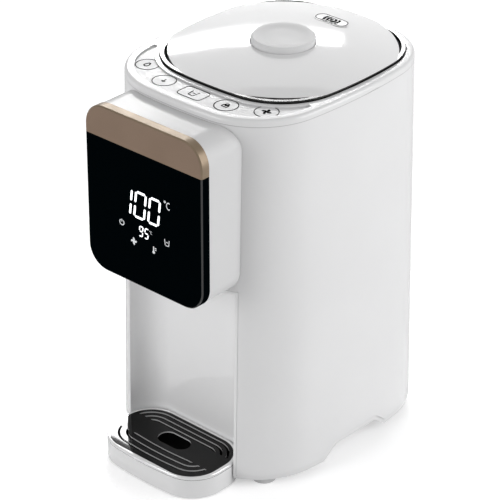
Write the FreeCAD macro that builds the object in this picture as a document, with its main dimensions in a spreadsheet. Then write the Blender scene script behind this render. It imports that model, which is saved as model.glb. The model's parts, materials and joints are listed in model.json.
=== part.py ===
"""Electric thermo pot with a touch panel, a display head and a drip tray.

Millimetres, +Z up, front towards -Y. The origin lies on the floor under the middle of the
whole outline. Every sub-part is drawn about the upright axis of the pot's body and is then
carried back by its Placement, because the tray reaches further forward than the body
reaches back.
"""
import FreeCAD, Part
import math
import os
import re

import Sketcher

Vector = FreeCAD.Vector
document = FreeCAD.newDocument("thermo_pot")
sheet = document.addObject("Spreadsheet::Sheet", "sizes")

# Driving sizes. Heights are measured from the floor, depths from the body's own axis.
SIZES = {
    # Body outline: four bowed sides joined by four rounder corners, drawn in by a draft.
    "body_side_bow": 508.0,
    "body_front_bow": 505.0,
    "body_corner": 67.8,
    "body_draft": 1.0,
    "shell_top": 326.0,
    "shell_wall": 2.5,
    # Base
    "foot_height": 6.3,
    "base_height": 4.0,
    "foot_radius": 10.0,
    "foot_side_inset": 29.8,
    "foot_end_inset": 33.5,
    "foot_hollow_radius": 5.0,
    "foot_hollow_depth": 2.0,
    "base_inset": 0.7,
    "base_floor": 2.5,
    "base_wall": 2.2,
    "base_wall_height": 12.0,
    "grip_height": 11.0,
    "grip_depth": 15.0,
    "grip_half_length": 25.0,
    "grip_slope": 14.0,
    "grip_rounding": 9.0,
    "tongue_half_width": 24.0,
    "tongue_thick": 3.0,
    "tongue_rise": 0.5,
    "tongue_inset": 19.5,
    # Cup bay
    "bay_side": 40.8,
    "hose_space": 14.2,
    "bay_corner": 25.0,
    "bay_wall": 2.0,
    # Head
    "head_overlap": 3.5,
    "head_bottom": 179.3,
    "head_top_drop": 0.8,
    "head_corner": 20.0,
    "head_reach": 30.7,
    "bezel_depth": 8.35,
    "bezel_wall": 2.2,
    "gold_height": 27.2,
    "housing_inset": 0.6,
    "housing_wall": 2.2,
    "carrier_thick": 2.0,
    "cover_front": 9.0,
    "cover_back": 8.5,
    "cover_thick": 2.2,
    "window_side": 18.5,
    "window_rise": 25.7,
    "window_drop": 25.2,
    # Display
    "board_thick": 1.6,
    "display_board_side": 16.5,
    "display_board_rise": 20.7,
    "display_board_drop": 39.2,
    "display_centre_x": 7.0,
    "display_rise": 74.7,
    "display_half_width": 25.5,
    "display_half_height": 16.0,
    "small_display_half_width": 8.0,
    "small_display_height": 15.0,
    "lamp_radius": 3.0,
    "lamp_outer_x": 24.5,
    "lamp_inner_x": 11.0,
    "lamp_outer_rise": 51.2,
    "lamp_inner_rise": 39.2,
    # Spout
    "spout_inset": 20.2,
    "spout_radius": 7.0,
    "spout_bore": 4.0,
    "spout_drop": 7.0,
    "spout_neck_rise": 23.7,
    # Drip tray
    "tray_gap": 0.7,
    "tray_reach": 39.0,
    "tray_front_bow": 330.0,
    "tray_corner": 30.0,
    "tray_ease": 4.0,
    "tray_wall": 2.0,
    "tray_floor": 2.0,
    "tray_bottom": 0.8,
    "tray_top": 18.0,
    "plate_rise": 3.0,
    "plate_thick": 1.2,
    "plate_rounding": 1.0,
    "drain_inset": 39.0,
    "drain_half_length": 16.0,
    "drain_half_depth": 8.5,
    "slot_width": 2.2,
    "front_slot_edge": 8.4,
    "front_slot_spacing": 6.8,
    "front_slot_inset": 25.5,
    "rear_slot_edge": 6.4,
    "rear_slot_spacing": 5.8,
    "rear_slot_inset": 22.0,
    # Collar round the lid
    "collar_rise": 5.5,
    "collar_rounding": 3.0,
    "collar_skirt": 10.0,
    "collar_skirt_wall": 1.4,
    "collar_roof": 1.4,
    "well_wall": 1.4,
    "shelf_drop": 14.0,
    "shelf_thick": 2.5,
    "shelf_lap": 1.0,
    "panel_edge": 7.4,
    "panel_inner": 3.4,
    "panel_end_y": 46.0,
    "panel_thick": 1.0,
    "panel_rise": 4.0,
    "sensor_radius": 8.0,
    "key_inner_x": 33.1,
    "key_inner_front": 27.0,
    "key_outer_side": 36.2,
    "key_outer_front": 39.5,
    "key_middle_front": 25.5,
    # Lid
    "lid_front_margin": 40.2,
    "lid_back_margin": 9.8,
    "lid_side_margin": 14.0,
    "lid_side_bow": 386.8,
    "lid_front_bow": 383.1,
    "lid_corner": 56.8,
    "lid_band_drop": 1.7,
    "lid_band_height": 3.8,
    "dome_rise": 6.8,
    "lid_dome": 640.0,
    "lid_cover_wall": 2.4,
    "lid_band_wall": 3.0,
    "lid_body_wall": 2.2,
    "lid_body_floor": 2.0,
    "plug_clearance": 4.0,
    "plug_drop": 15.0,
    "plug_wall": 0.8,
    "plug_rounding": 5.0,
    "seal_width": 5.5,
    "lid_screw_side": 32.8,
    "lid_screw_end": 49.5,
    "steam_hole_radius": 1.6,
    "steam_hole_circle": 6.0,
    # Knob, cam and bolts
    "knob_radius": 26.2,
    "knob_rise": 4.6,
    "knob_well_wall": 2.0,
    "knob_well_depth": 4.0,
    "knob_dish": 1.5,
    "knob_rim": 3.5,
    "knob_dish_radius": 15.72,
    "knob_dish_step": 1.2,
    "knob_edge": 1.5,
    "shaft_radius": 7.0,
    "cam_radius": 24.0,
    "cam_thick": 3.0,
    "cam_pin_radius": 2.0,
    "cam_pin_start": 13.0,
    "bolt_travel": 4.0,
    "bolt_turn": 60.0,
    "bolt_half_width": 7.0,
    "bolt_thick": 3.0,
    "bolt_inner_x": 9.0,
    # Steam vent
    "vent_inset": 33.1,
    "vent_half_length": 15.5,
    "vent_half_width": 5.6,
    "vent_cap_rise": 0.8,
    "vent_cap_slot": 1.3,
    "vent_slot_pitch": 3.2,
    "vent_slot_reach": 3.36,
    "vent_tube_radius": 7.0,
    "vent_bore": 4.6,
    "vent_seat": 3.0,
    "vent_tube_drop": 7.4,
    "ball_radius": 4.2,
    # Inner pot
    "pot_radius": 80.0,
    "pot_side": 19.8,
    "pot_end": 36.5,
    "pot_wall": 0.8,
    "pot_bottom": 58.0,
    "pot_rounding": 9.0,
    "flange_width": 7.0,
    "gasket_width": 5.0,
    "gasket_thick": 1.7,
    "shield_gap": 5.5,
    "shield_wall": 0.6,
    "shield_drop": 6.0,
    "heater_radius": 50.0,
    "heater_thick": 8.0,
    "heater_tube_radius": 3.2,
    "heater_ring": 38.0,
    "post_inset": 7.0,
    "post_radius": 4.0,
    "post_angle": 38.0,
    "sensor_body": 5.0,
    "sensor_height": 9.0,
    "cutout_x": 20.0,
    "cutout_radius": 8.0,
    "cutout_height": 6.0,
    # Pump
    "pump_inset": 36.5,
    "pump_radius": 20.0,
    "pump_bottom": 30.0,
    "pump_height": 14.0,
    "pump_wall": 2.0,
    "pump_neck_radius": 5.0,
    "pump_neck_rise": 5.0,
    "pump_outlet_offset": 13.0,
    "pump_outlet_length": 8.0,
    "motor_radius": 14.0,
    "impeller_radius": 15.0,
    "impeller_thick": 5.0,
    "impeller_vanes": 6.0,
    "motor_shaft_radius": 1.5,
    "hose_radius": 4.8,
    "hose_bore": 3.3,
    "hose_offset": 15.36,
    "hose_bend": 7.68,
    "hose_top_drop": 19.2,
    # Electrics
    "inlet_level": 34.0,
    "inlet_half_width": 15.0,
    "inlet_half_height": 11.5,
    "inlet_depth": 20.0,
    "socket_half_width": 12.2,
    "socket_half_height": 8.2,
    "socket_depth": 15.0,
    "inlet_recess": 1.2,
    "pin_half_width": 1.0,
    "pin_half_height": 2.0,
    "pin_length": 9.0,
    "pin_spacing": 7.0,
    "fan_y": 30.0,
    "fan_half_width": 20.0,
    "fan_thick": 10.0,
    "fan_bore": 18.6,
    "fan_hub": 8.0,
    "fan_blade_tip": 17.8,
    "fan_blades": 7.0,
    "fan_pitch": 40.0,
    "grille_half_width": 33.0,
    "grille_half_depth": 33.0,
    "grille_slot_width": 3.0,
    "grille_slot_pitch": 6.0,
    "grille_slots": 7.0,
    "fan_strut": 2.0,
    "fan_axle": 1.5,
    "grille_ledge": 7.0,
    "grille_thick": 1.2,
    "boss_radius": 3.5,
    "boss_height": 7.0,
    "board_side": 41.8,
    "board_y": 15.0,
    "board_half_width": 24.0,
    "board_half_depth": 30.0,
    "board_level": 20.0,
    "relay_side": 4.0,
    "relay_front": 10.0,
    "relay_width": 15.0,
    "relay_depth": 20.0,
    "relay_height": 15.0,
    "coil_depth": 22.0,
    "coil_height": 18.0,
    "terminal_side": 6.0,
    "terminal_back": 7.0,
    "terminal_depth": 9.0,
    "terminal_height": 10.0,
    # Fits and fasteners
    "gap": 0.3,
    "running_gap": 0.08,
    "lid_gap": 0.7,
    "screw_radius": 1.5,
    "screw_head": 3.0,
    "screw_head_thick": 2.0,
    "screw_length": 9.0,
}

# Sizes that follow from the driving ones, each worked out from words above it.
WORKED_OUT = {
    "body_half_width": "pot_radius + pot_side",
    "body_half_depth": "pot_radius + pot_end",
    "shield_radius": "pot_radius + shield_gap",
    "lid_y": "(lid_front_margin - lid_back_margin) / 2",
    "shell_bottom": "foot_height + base_height",
    "foot_x": "body_half_width - foot_side_inset",
    "foot_y": "body_half_depth - foot_end_inset",
    "bay_half_width": "body_half_width - bay_side",
    "bay_back_y": "shield_radius - lid_y + hose_space",
    "head_half_width": "bay_half_width + head_overlap",
    "head_top": "shell_top - head_top_drop",
    "head_front_y": "body_half_depth + head_reach",
    "band_bottom": "head_top - gold_height",
    "cover_half_width": "head_half_width - head_corner - cover_thick - gap",
    "window_half_width": "head_half_width - window_side",
    "window_bottom": "head_bottom + window_rise",
    "window_top": "head_top - window_drop",
    "display_board_half_width": "head_half_width - display_board_side",
    "display_board_bottom": "head_bottom + display_board_rise",
    "display_board_top": "head_top - display_board_drop",
    "display_centre_z": "head_bottom + display_rise",
    "spout_y": "head_front_y - spout_inset",
    "spout_neck_top": "head_bottom + spout_neck_rise",
    "cover_front_y": "spout_y + cover_front",
    "cover_back_y": "spout_y - cover_back",
    "tray_front_y": "body_half_depth + tray_reach",
    "tongue_reach": "tray_front_y - tongue_inset",
    "plate_top": "tray_top + plate_rise",
    "drain_y": "tray_front_y - drain_inset",
    "front_slot_end": "tray_front_y - front_slot_inset",
    "rear_slot_end": "bay_back_y + rear_slot_inset",
    "panel_level": "shell_top + panel_rise",
    "shelf_level": "shell_top - shelf_drop",
    "key_inner_y": "body_half_depth - key_inner_front",
    "key_outer_x": "body_half_width - key_outer_side",
    "key_outer_y": "body_half_depth - key_outer_front",
    "key_middle_y": "body_half_depth - key_middle_front",
    "lid_half_width": "body_half_width - lid_side_margin",
    "lid_half_depth": "body_half_depth - (lid_front_margin + lid_back_margin) / 2",
    "lid_band_bottom": "shell_top + collar_rise - lid_band_drop",
    "lid_cover_bottom": "lid_band_bottom + lid_band_height",
    "lid_crown": "lid_cover_bottom + dome_rise",
    "lid_screw_x": "lid_half_width - lid_screw_side",
    "lid_screw_y": "lid_half_depth - lid_screw_end",
    "knob_top": "lid_crown + knob_rise",
    "vent_y": "lid_half_depth - vent_inset",
    "vent_tube_top": "lid_crown - vent_tube_drop",
    "shelf_hole": "pot_radius - shelf_lap",
    "plug_radius": "pot_radius - plug_clearance",
    "plug_bottom": "shelf_level - plug_drop",
    "shield_bottom": "pot_bottom - shield_drop",
    "post_circle": "pot_radius - post_inset",
    "pump_y": "bay_back_y - pump_inset",
    "pump_top": "pump_bottom + pump_height",
    "pump_neck_top": "pump_top + pump_neck_rise",
    "board_x": "body_half_width - board_side",
}
WORDS = list(SIZES) + list(WORKED_OUT)
for row, word in enumerate(WORDS, start=1):
    sheet.set("A%d" % row, word)
    sheet.set("B%d" % row, str(SIZES[word]) if word in SIZES else "=" + WORKED_OUT[word])
    sheet.setAlias("B%d" % row, word)
document.recompute()

nodes = []


# Words and numbers
def formula(text):
    """Give each size word in a formula the name of the sheet that holds it."""
    def in_sheet(found):
        return "sizes." + found[0] if found[0] in WORDS else found[0]
    return re.sub(r"[a-z]\w*", in_sheet, str(text))


def number(text):
    """Work a formula out with the sheet's present numbers."""
    result = sheet.evalExpression(formula(text))
    return float(getattr(result, "Value", result))


def bind(thing, place, text):
    thing.setExpression(place, formula(text))


def seat(thing, x="0", y="0", z="0", turn=None):
    """Put a thing at a place given by formulas, first turned if a turn is given."""
    if turn is not None:
        thing.Placement = FreeCAD.Placement(Vector(), turn)
    for letter, text in zip("xyz", (x, y, z)):
        bind(thing, "Placement.Base." + letter, text)
    return thing


BODY_Y = "(tray_front_y - body_half_depth) / 2"
DRAFT_TAN = "tan(body_draft * 1deg)"
PRIMITIVES = ("Part::Box", "Part::Cylinder", "Part::Sphere", "Part::Torus")


def node(thing, label, x="0", y="0", z="0"):
    """Name a finished sub-part and carry it from the body's axis to the frame.

    A lone primitive already has a place of its own, so it is carried inside a group.
    """
    if thing.TypeId in PRIMITIVES:
        thing = group(thing)
    thing.Label = label
    seat(thing, x, "%s + (%s)" % (BODY_Y, y), z)
    nodes.append(thing)
    return thing


# Primitives and booleans
def block(x0, x1, y0, y1, z0, z1):
    made = document.addObject("Part::Box", "Block")
    for place, low, high in (("Length", x0, x1), ("Width", y0, y1), ("Height", z0, z1)):
        bind(made, place, "(%s) - (%s)" % (high, low))
    return seat(made, x0, y0, z0)


ALONG = {
    "x": FreeCAD.Rotation(Vector(0, 0, 1), Vector(1, 0, 0)),
    "y": FreeCAD.Rotation(Vector(0, 0, 1), Vector(0, 1, 0)),
    "z": FreeCAD.Rotation(),
}


def rod(radius, x, y, z, length, along="z"):
    """A round bar that starts at a place and runs along an axis."""
    made = document.addObject("Part::Cylinder", "Rod")
    bind(made, "Radius", radius)
    bind(made, "Height", length)
    return seat(made, x, y, z, ALONG[along])


def ball(radius, x, y, z):
    made = document.addObject("Part::Sphere", "Ball")
    bind(made, "Radius", radius)
    return seat(made, x, y, z)


def ring(radius, thick, x, y, z):
    made = document.addObject("Part::Torus", "Ring")
    bind(made, "Radius1", radius)
    bind(made, "Radius2", thick)
    return seat(made, x, y, z)


def fuse(*things):
    if len(things) == 1:
        return things[0]
    made = document.addObject("Part::MultiFuse", "Fuse")
    made.Shapes = list(things)
    return made


def cut(base, *tools):
    made = document.addObject("Part::Cut", "Cut")
    made.Base = base
    made.Tool = fuse(*tools)
    return made


def common(*things):
    made = document.addObject("Part::MultiCommon", "Common")
    made.Shapes = list(things)
    return made


def group(*things):
    """Separate solids that are one node, such as a set of screws."""
    made = document.addObject("Part::Compound", "Group")
    made.Links = list(things)
    return made


def solid_of(shape):
    """A piece whose shape is worked out here, for paths that leave a plane."""
    made = document.addObject("Part::Feature", "Shape")
    made.Shape = shape
    return made


# Sketches
def new_body():
    return document.addObject("PartDesign::Body", "Body")


def sketch_on(body, role, level="0"):
    """A sketch on one of the body's own origin planes, lifted along the plane's normal."""
    sketch = body.newObject("Sketcher::SketchObject", "Sketch")
    plane = [feature for feature in body.Origin.OriginFeatures if feature.Role == role][0]
    sketch.AttachmentSupport = [(plane, "")]
    sketch.MapMode = "FlatFace"
    bind(sketch, "AttachmentOffset.Base.z", level)
    return sketch


def hold(sketch, kind, place, text):
    """Add one dimension to a sketch and tie it to a formula."""
    index = sketch.addConstraint(Sketcher.Constraint(kind, *place, number(text)))
    sketch.setExpression("Constraints[%d]" % index, formula(text))


def hold_point(sketch, curve, corner, x, y):
    hold(sketch, "DistanceX", (-1, 1, curve, corner), x)
    hold(sketch, "DistanceY", (-1, 1, curve, corner), y)


def arc(centre, radius, start, end):
    return Part.ArcOfCircle(Part.Circle(centre, Vector(0, 0, 1), radius), start, end)


def line(start, end):
    return Part.LineSegment(start, end)


def join_round(sketch, curves, kind="Tangent"):
    """Join each curve's end to the next one's start, all the way round."""
    for index in range(curves):
        sketch.addConstraint(Sketcher.Constraint(kind, index, 2, (index + 1) % curves, 1))


def bowed_outline(sketch, half_width, half_depth, side_bow, front_bow, corner, centre_y):
    """Eight arcs, each tangent to the next: four bowed sides and four corners."""
    a, b, side, front, small, middle = [
        number(text) for text in (half_width, half_depth, side_bow, front_bow, corner, centre_y)]
    side_centre = Vector(a - side, middle, 0)
    front_centre = Vector(0, middle + b - front, 0)
    between = front_centre - side_centre
    span = between.Length
    along = ((side - small) ** 2 - (front - small) ** 2 + span ** 2) / (2 * span)
    across = math.sqrt((side - small) ** 2 - along ** 2)
    unit = between / span
    foot = side_centre + unit * along
    step = Vector(unit.y, -unit.x, 0) * across
    corner_centre = max((foot + step, foot - step), key=lambda point: point.x + point.y)

    def left(point):
        return Vector(-point.x, point.y, 0)

    def low(point):
        return Vector(point.x, 2 * middle - point.y, 0)

    first = (corner_centre - side_centre).getAngle(Vector(1, 0, 0))
    second = (corner_centre - front_centre).getAngle(Vector(1, 0, 0))
    half_turn = math.pi
    sketch.addGeometry([
        arc(side_centre, side, -first, first),
        arc(corner_centre, small, first, second),
        arc(front_centre, front, second, half_turn - second),
        arc(left(corner_centre), small, half_turn - second, half_turn - first),
        arc(left(side_centre), side, half_turn - first, half_turn + first),
        arc(left(low(corner_centre)), small, half_turn + first, half_turn + second),
        arc(low(front_centre), front, half_turn + second, 2 * half_turn - second),
        arc(low(corner_centre), small, 2 * half_turn - second, 2 * half_turn - first),
    ], False)
    join_round(sketch, 8)
    for first_curve, second_curve in ((0, 4), (2, 6), (1, 3), (1, 5), (1, 7)):
        sketch.addConstraint(Sketcher.Constraint("Equal", first_curve, second_curve))
    for curve in (2, 6):
        sketch.addConstraint(Sketcher.Constraint("PointOnObject", curve, 3, -2))
    hold(sketch, "Radius", (0,), side_bow)
    hold(sketch, "Radius", (2,), front_bow)
    hold(sketch, "Radius", (1,), corner)
    hold_point(sketch, 0, 3, "(%s) - (%s)" % (half_width, side_bow), centre_y)
    hold_point(sketch, 4, 3, "(%s) - (%s)" % (side_bow, half_width), centre_y)
    hold(sketch, "DistanceY", (-1, 1, 2, 3), "(%s) + (%s) - (%s)" % (centre_y, half_depth, front_bow))
    hold(sketch, "DistanceY", (-1, 1, 6, 3), "(%s) - (%s) + (%s)" % (centre_y, half_depth, front_bow))


def rounded_outline(sketch, x0, x1, y0, y1, radius):
    """A rectangle with four equal round corners."""
    low_x, high_x, low_y, high_y, small = [number(text) for text in (x0, x1, y0, y1, radius)]
    quarter = math.pi / 2
    sketch.addGeometry([
        line(Vector(low_x + small, low_y, 0), Vector(high_x - small, low_y, 0)),
        arc(Vector(high_x - small, low_y + small, 0), small, -quarter, 0),
        line(Vector(high_x, low_y + small, 0), Vector(high_x, high_y - small, 0)),
        arc(Vector(high_x - small, high_y - small, 0), small, 0, quarter),
        line(Vector(high_x - small, high_y, 0), Vector(low_x + small, high_y, 0)),
        arc(Vector(low_x + small, high_y - small, 0), small, quarter, 2 * quarter),
        line(Vector(low_x, high_y - small, 0), Vector(low_x, low_y + small, 0)),
        arc(Vector(low_x + small, low_y + small, 0), small, 2 * quarter, 3 * quarter),
    ], False)
    join_round(sketch, 8)
    for curve, kind in ((0, "Horizontal"), (2, "Vertical"), (4, "Horizontal"), (6, "Vertical")):
        sketch.addConstraint(Sketcher.Constraint(kind, curve))
    for curve in (3, 5, 7):
        sketch.addConstraint(Sketcher.Constraint("Equal", 1, curve))
    hold(sketch, "Radius", (1,), radius)
    hold(sketch, "DistanceY", (-1, 1, 0, 1), y0)
    hold(sketch, "DistanceX", (-1, 1, 2, 1), x1)
    hold(sketch, "DistanceY", (-1, 1, 4, 1), y1)
    hold(sketch, "DistanceX", (-1, 1, 6, 1), x0)


def tray_outline(sketch, grow):
    """The tray: bowed front, two wide front corners, straight sides and two rear corners."""
    half = "bay_half_width - tray_gap + (%s)" % grow
    reach = "tray_front_y + (%s)" % grow
    bow = "tray_front_bow + (%s)" % grow
    front_corner = "tray_corner + (%s)" % grow
    rear_corner = "bay_corner + tray_ease + (%s)" % grow
    rear = "-(bay_back_y + tray_gap) + (%s)" % grow
    width, front, big, wide, tight, back = [
        number(text) for text in (half, reach, bow, front_corner, rear_corner, rear)]
    bow_y = big - front
    drop = math.sqrt((big - wide) ** 2 - (width - wide) ** 2)
    corner_y = bow_y - drop
    swing = math.atan2(width - wide, drop)
    quarter = math.pi / 2
    sketch.addGeometry([
        arc(Vector(0, bow_y, 0), big, -quarter - swing, -quarter + swing),
        arc(Vector(width - wide, corner_y, 0), wide, -quarter + swing, 0),
        line(Vector(width, corner_y, 0), Vector(width, back - tight, 0)),
        arc(Vector(width - tight, back - tight, 0), tight, 0, quarter),
        line(Vector(width - tight, back, 0), Vector(tight - width, back, 0)),
        arc(Vector(tight - width, back - tight, 0), tight, quarter, 2 * quarter),
        line(Vector(-width, back - tight, 0), Vector(-width, corner_y, 0)),
        arc(Vector(wide - width, corner_y, 0), wide, 2 * quarter, 3 * quarter - swing),
    ], False)
    join_round(sketch, 8)
    for curve, kind in ((2, "Vertical"), (4, "Horizontal"), (6, "Vertical")):
        sketch.addConstraint(Sketcher.Constraint(kind, curve))
    sketch.addConstraint(Sketcher.Constraint("PointOnObject", 0, 3, -2))
    sketch.addConstraint(Sketcher.Constraint("Equal", 1, 7))
    sketch.addConstraint(Sketcher.Constraint("Equal", 3, 5))
    hold(sketch, "Radius", (0,), bow)
    hold(sketch, "Radius", (1,), front_corner)
    hold(sketch, "Radius", (3,), rear_corner)
    hold(sketch, "DistanceY", (-1, 1, 0, 3), "(%s) - (%s)" % (bow, reach))
    hold(sketch, "DistanceX", (-1, 1, 2, 1), half)
    hold(sketch, "DistanceX", (-1, 1, 6, 1), "-(%s)" % half)
    hold(sketch, "DistanceY", (-1, 1, 4, 1), rear)


def polygon(sketch, corners):
    """Straight edges between corners, each corner held by two formulas."""
    points = [Vector(number(x), number(y), 0) for x, y in corners]
    following = points[1:] + points[:1]
    sketch.addGeometry([line(start, end) for start, end in zip(points, following)], False)
    join_round(sketch, len(points), "Coincident")
    for curve, (x, y) in enumerate(corners):
        hold_point(sketch, curve, 1, x, y)


# Features
def pad(body, sketch, length, draft=None):
    feature = body.newObject("PartDesign::Pad", "Pad")
    feature.Profile = sketch
    bind(feature, "Length", length)
    if draft:
        bind(feature, "TaperAngle", draft)
    return feature


def turned(corners, x="0", y="0", z="0"):
    """A round piece: a profile of (radius, height) corners turned about an upright axis."""
    body = new_body()
    sketch = sketch_on(body, "XZ_Plane")
    polygon(sketch, corners)
    feature = body.newObject("PartDesign::Revolution", "Revolution")
    feature.Profile = sketch
    feature.ReferenceAxis = (sketch, ["V_Axis"])
    feature.Angle = 360
    return seat(body, x, y, z)


def prism(outline, z0, z1, draft=None):
    """A body padded upwards from an outline that a function draws."""
    body = new_body()
    sketch = sketch_on(body, "XY_Plane", z0)
    outline(sketch)
    pad(body, sketch, "(%s) - (%s)" % (z1, z0), draft)
    return body


def drafted(grow, level):
    """How much the body's outline has grown or shrunk at a height."""
    return "(%s) - ((%s) - shell_bottom) * %s" % (grow, level, DRAFT_TAN)


def body_prism(grow, z0, z1):
    """The body's drafted outline, offset by grow, between two heights."""
    change = drafted(grow, z0)

    def outline(sketch):
        bowed_outline(sketch, *["%s + %s" % (word, change) for word in (
            "body_half_width", "body_half_depth", "body_side_bow", "body_front_bow", "body_corner")], "0")
    return prism(outline, z0, z1, "-body_draft")


def lid_prism(grow, z0, z1):
    def outline(sketch):
        bowed_outline(sketch, *["%s + (%s)" % (word, grow) for word in (
            "lid_half_width", "lid_half_depth", "lid_side_bow", "lid_front_bow", "lid_corner")], "lid_y")
    return prism(outline, z0, z1)


def bay_prism(grow, z0, z1):
    """The cup bay's outline: open to the front, two round corners at the back."""
    def outline(sketch):
        rounded_outline(sketch, "-(bay_half_width + (%s))" % grow, "bay_half_width + (%s)" % grow,
                        "-2 * body_half_depth", "-bay_back_y + (%s)" % grow, "bay_corner + (%s)" % grow)
    return prism(outline, z0, z1)


def tray_prism(grow, z0, z1):
    return prism(lambda sketch: tray_outline(sketch, grow), z0, z1)


def head_prism(grow, back_y, front_y):
    """The head's rounded front outline, run from one depth forwards to another."""
    body = new_body()
    sketch = sketch_on(body, "XZ_Plane", back_y)
    rounded_outline(sketch, "-(head_half_width + (%s))" % grow, "head_half_width + (%s)" % grow,
                    "head_bottom - (%s)" % grow, "head_top + (%s)" % grow, "head_corner + (%s)" % grow)
    pad(body, sketch, "(%s) - (%s)" % (front_y, back_y))
    return body


def oval_prism(half_length, half_depth, x, y, z0, z1):
    """A long hole or badge with fully round ends, long along X."""
    return prism(lambda sketch: rounded_outline(
        sketch, "(%s) - (%s)" % (x, half_length), "(%s) + (%s)" % (x, half_length),
        "(%s) - (%s)" % (y, half_depth), "(%s) + (%s)" % (y, half_depth),
        "(%s) * 0.999" % half_depth), z0, z1)


def round_edges(body, axis, level, radius, kind="Fillet", along=None):
    """Round, or bevel, the edges in the plane at one level of an axis: all, or those along one way."""
    document.recompute()
    near = 0.01
    wanted = number(level)
    names = []
    for index, edge in enumerate(body.Shape.Edges, start=1):
        low = getattr(edge.BoundBox, axis + "Min")
        high = getattr(edge.BoundBox, axis + "Max")
        length = getattr(edge.BoundBox, along + "Length") if along else edge.Length
        if abs(low - wanted) < near and abs(high - wanted) < near and length > near:
            names.append("Edge%d" % index)
    before = body.Tip
    feature = body.newObject("PartDesign::" + kind, kind)
    feature.Base = (before, names)
    bind(feature, "Radius" if kind == "Fillet" else "Size", radius)
    document.recompute()
    body.Tip = feature
    return body


def round_path(points, radius):
    """A wire of straight runs joined by tangent arcs."""
    pieces = []
    start = points[0]
    for before, corner, after in zip(points, points[1:], points[2:]):
        back = (before - corner).normalize()
        ahead = (after - corner).normalize()
        half_angle = back.getAngle(ahead) / 2
        trim = radius / math.tan(half_angle)
        middle = corner + (back + ahead).normalize() * (radius / math.sin(half_angle) - radius)
        arc_start = corner + back * trim
        arc_end = corner + ahead * trim
        pieces.append(Part.LineSegment(start, arc_start).toShape())
        pieces.append(Part.Arc(arc_start, middle, arc_end).toShape())
        start = arc_end
    pieces.append(Part.LineSegment(start, points[-1]).toShape())
    return Part.Wire(pieces)


def screw_set(places, z, up):
    """Screws whose heads lie at one height: shanks go up or down from there."""
    shank_z = z if up else "%s - screw_length" % z
    head_z = "%s - screw_head_thick" % z if up else z
    made = []
    for x, y in places:
        made.append(fuse(rod("screw_radius", x, y, shank_z, "screw_length"),
                         rod("screw_head", x, y, head_z, "screw_head_thick")))
    return made


def screw_holes(places, z, up):
    """Clearance holes and head sinks for a set of screws."""
    shank_z = z if up else "%s - screw_length - gap" % z
    head_z = "%s - 2 * screw_head_thick" % z if up else z
    made = []
    for x, y in places:
        made.append(rod("screw_radius + running_gap", x, y, shank_z, "screw_length + gap"))
        made.append(rod("screw_head + gap", x, y, head_z, "2 * screw_head_thick"))
    return made


# Base
FLOOR_TOP = "(foot_height + base_floor)"
WALL_INSET = "-(shell_wall + gap)"
SKIRT_INSET = "-(shell_wall + gap + base_wall)"
FAR = "2 * body_half_depth"
POT_BOTTOM_TOP = "(pot_bottom + pot_wall)"


def grip_wedge(lift, side):
    """The finger grip under one side: a trapezium in the YZ plane, run in from outside."""
    body = new_body()
    inner = "body_half_width - grip_depth"
    level = inner if side > 0 else "-(%s) - grip_depth * 2" % inner
    sketch = sketch_on(body, "YZ_Plane", level)
    top = "foot_height + grip_height + (%s)" % lift
    low = "foot_height - grip_height + (%s)" % lift
    wide = "grip_half_length + 2 * grip_slope"
    polygon(sketch, [("-(%s)" % wide, low), (wide, low), ("grip_half_length", top),
                     ("-grip_half_length", top)])
    pad(body, sketch, "grip_depth * 2")
    return round_edges(body, "Z", top, "grip_rounding", along="X")


def corner_places(x, y, middle="0"):
    """Four places, mirrored left and right and placed either side of a middle."""
    return [("%s(%s)" % (sign, x), "%s %s (%s)" % (middle, way, y))
            for sign in ("", "-") for way in ("-", "+")]


FOOT_PLACES = {
    "front_left": ("-foot_x", "-foot_y"),
    "front_right": ("foot_x", "-foot_y"),
    "back_left": ("-foot_x", "foot_y"),
    "back_right": ("foot_x", "foot_y"),
}
GRILLE_SCREWS = corner_places("grille_half_width - grille_ledge / 2",
                              "grille_half_depth - grille_ledge / 2", "fan_y")
BOARD_POSTS = corner_places("board_half_width - boss_radius", "board_half_depth - boss_radius", "board_y")


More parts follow.
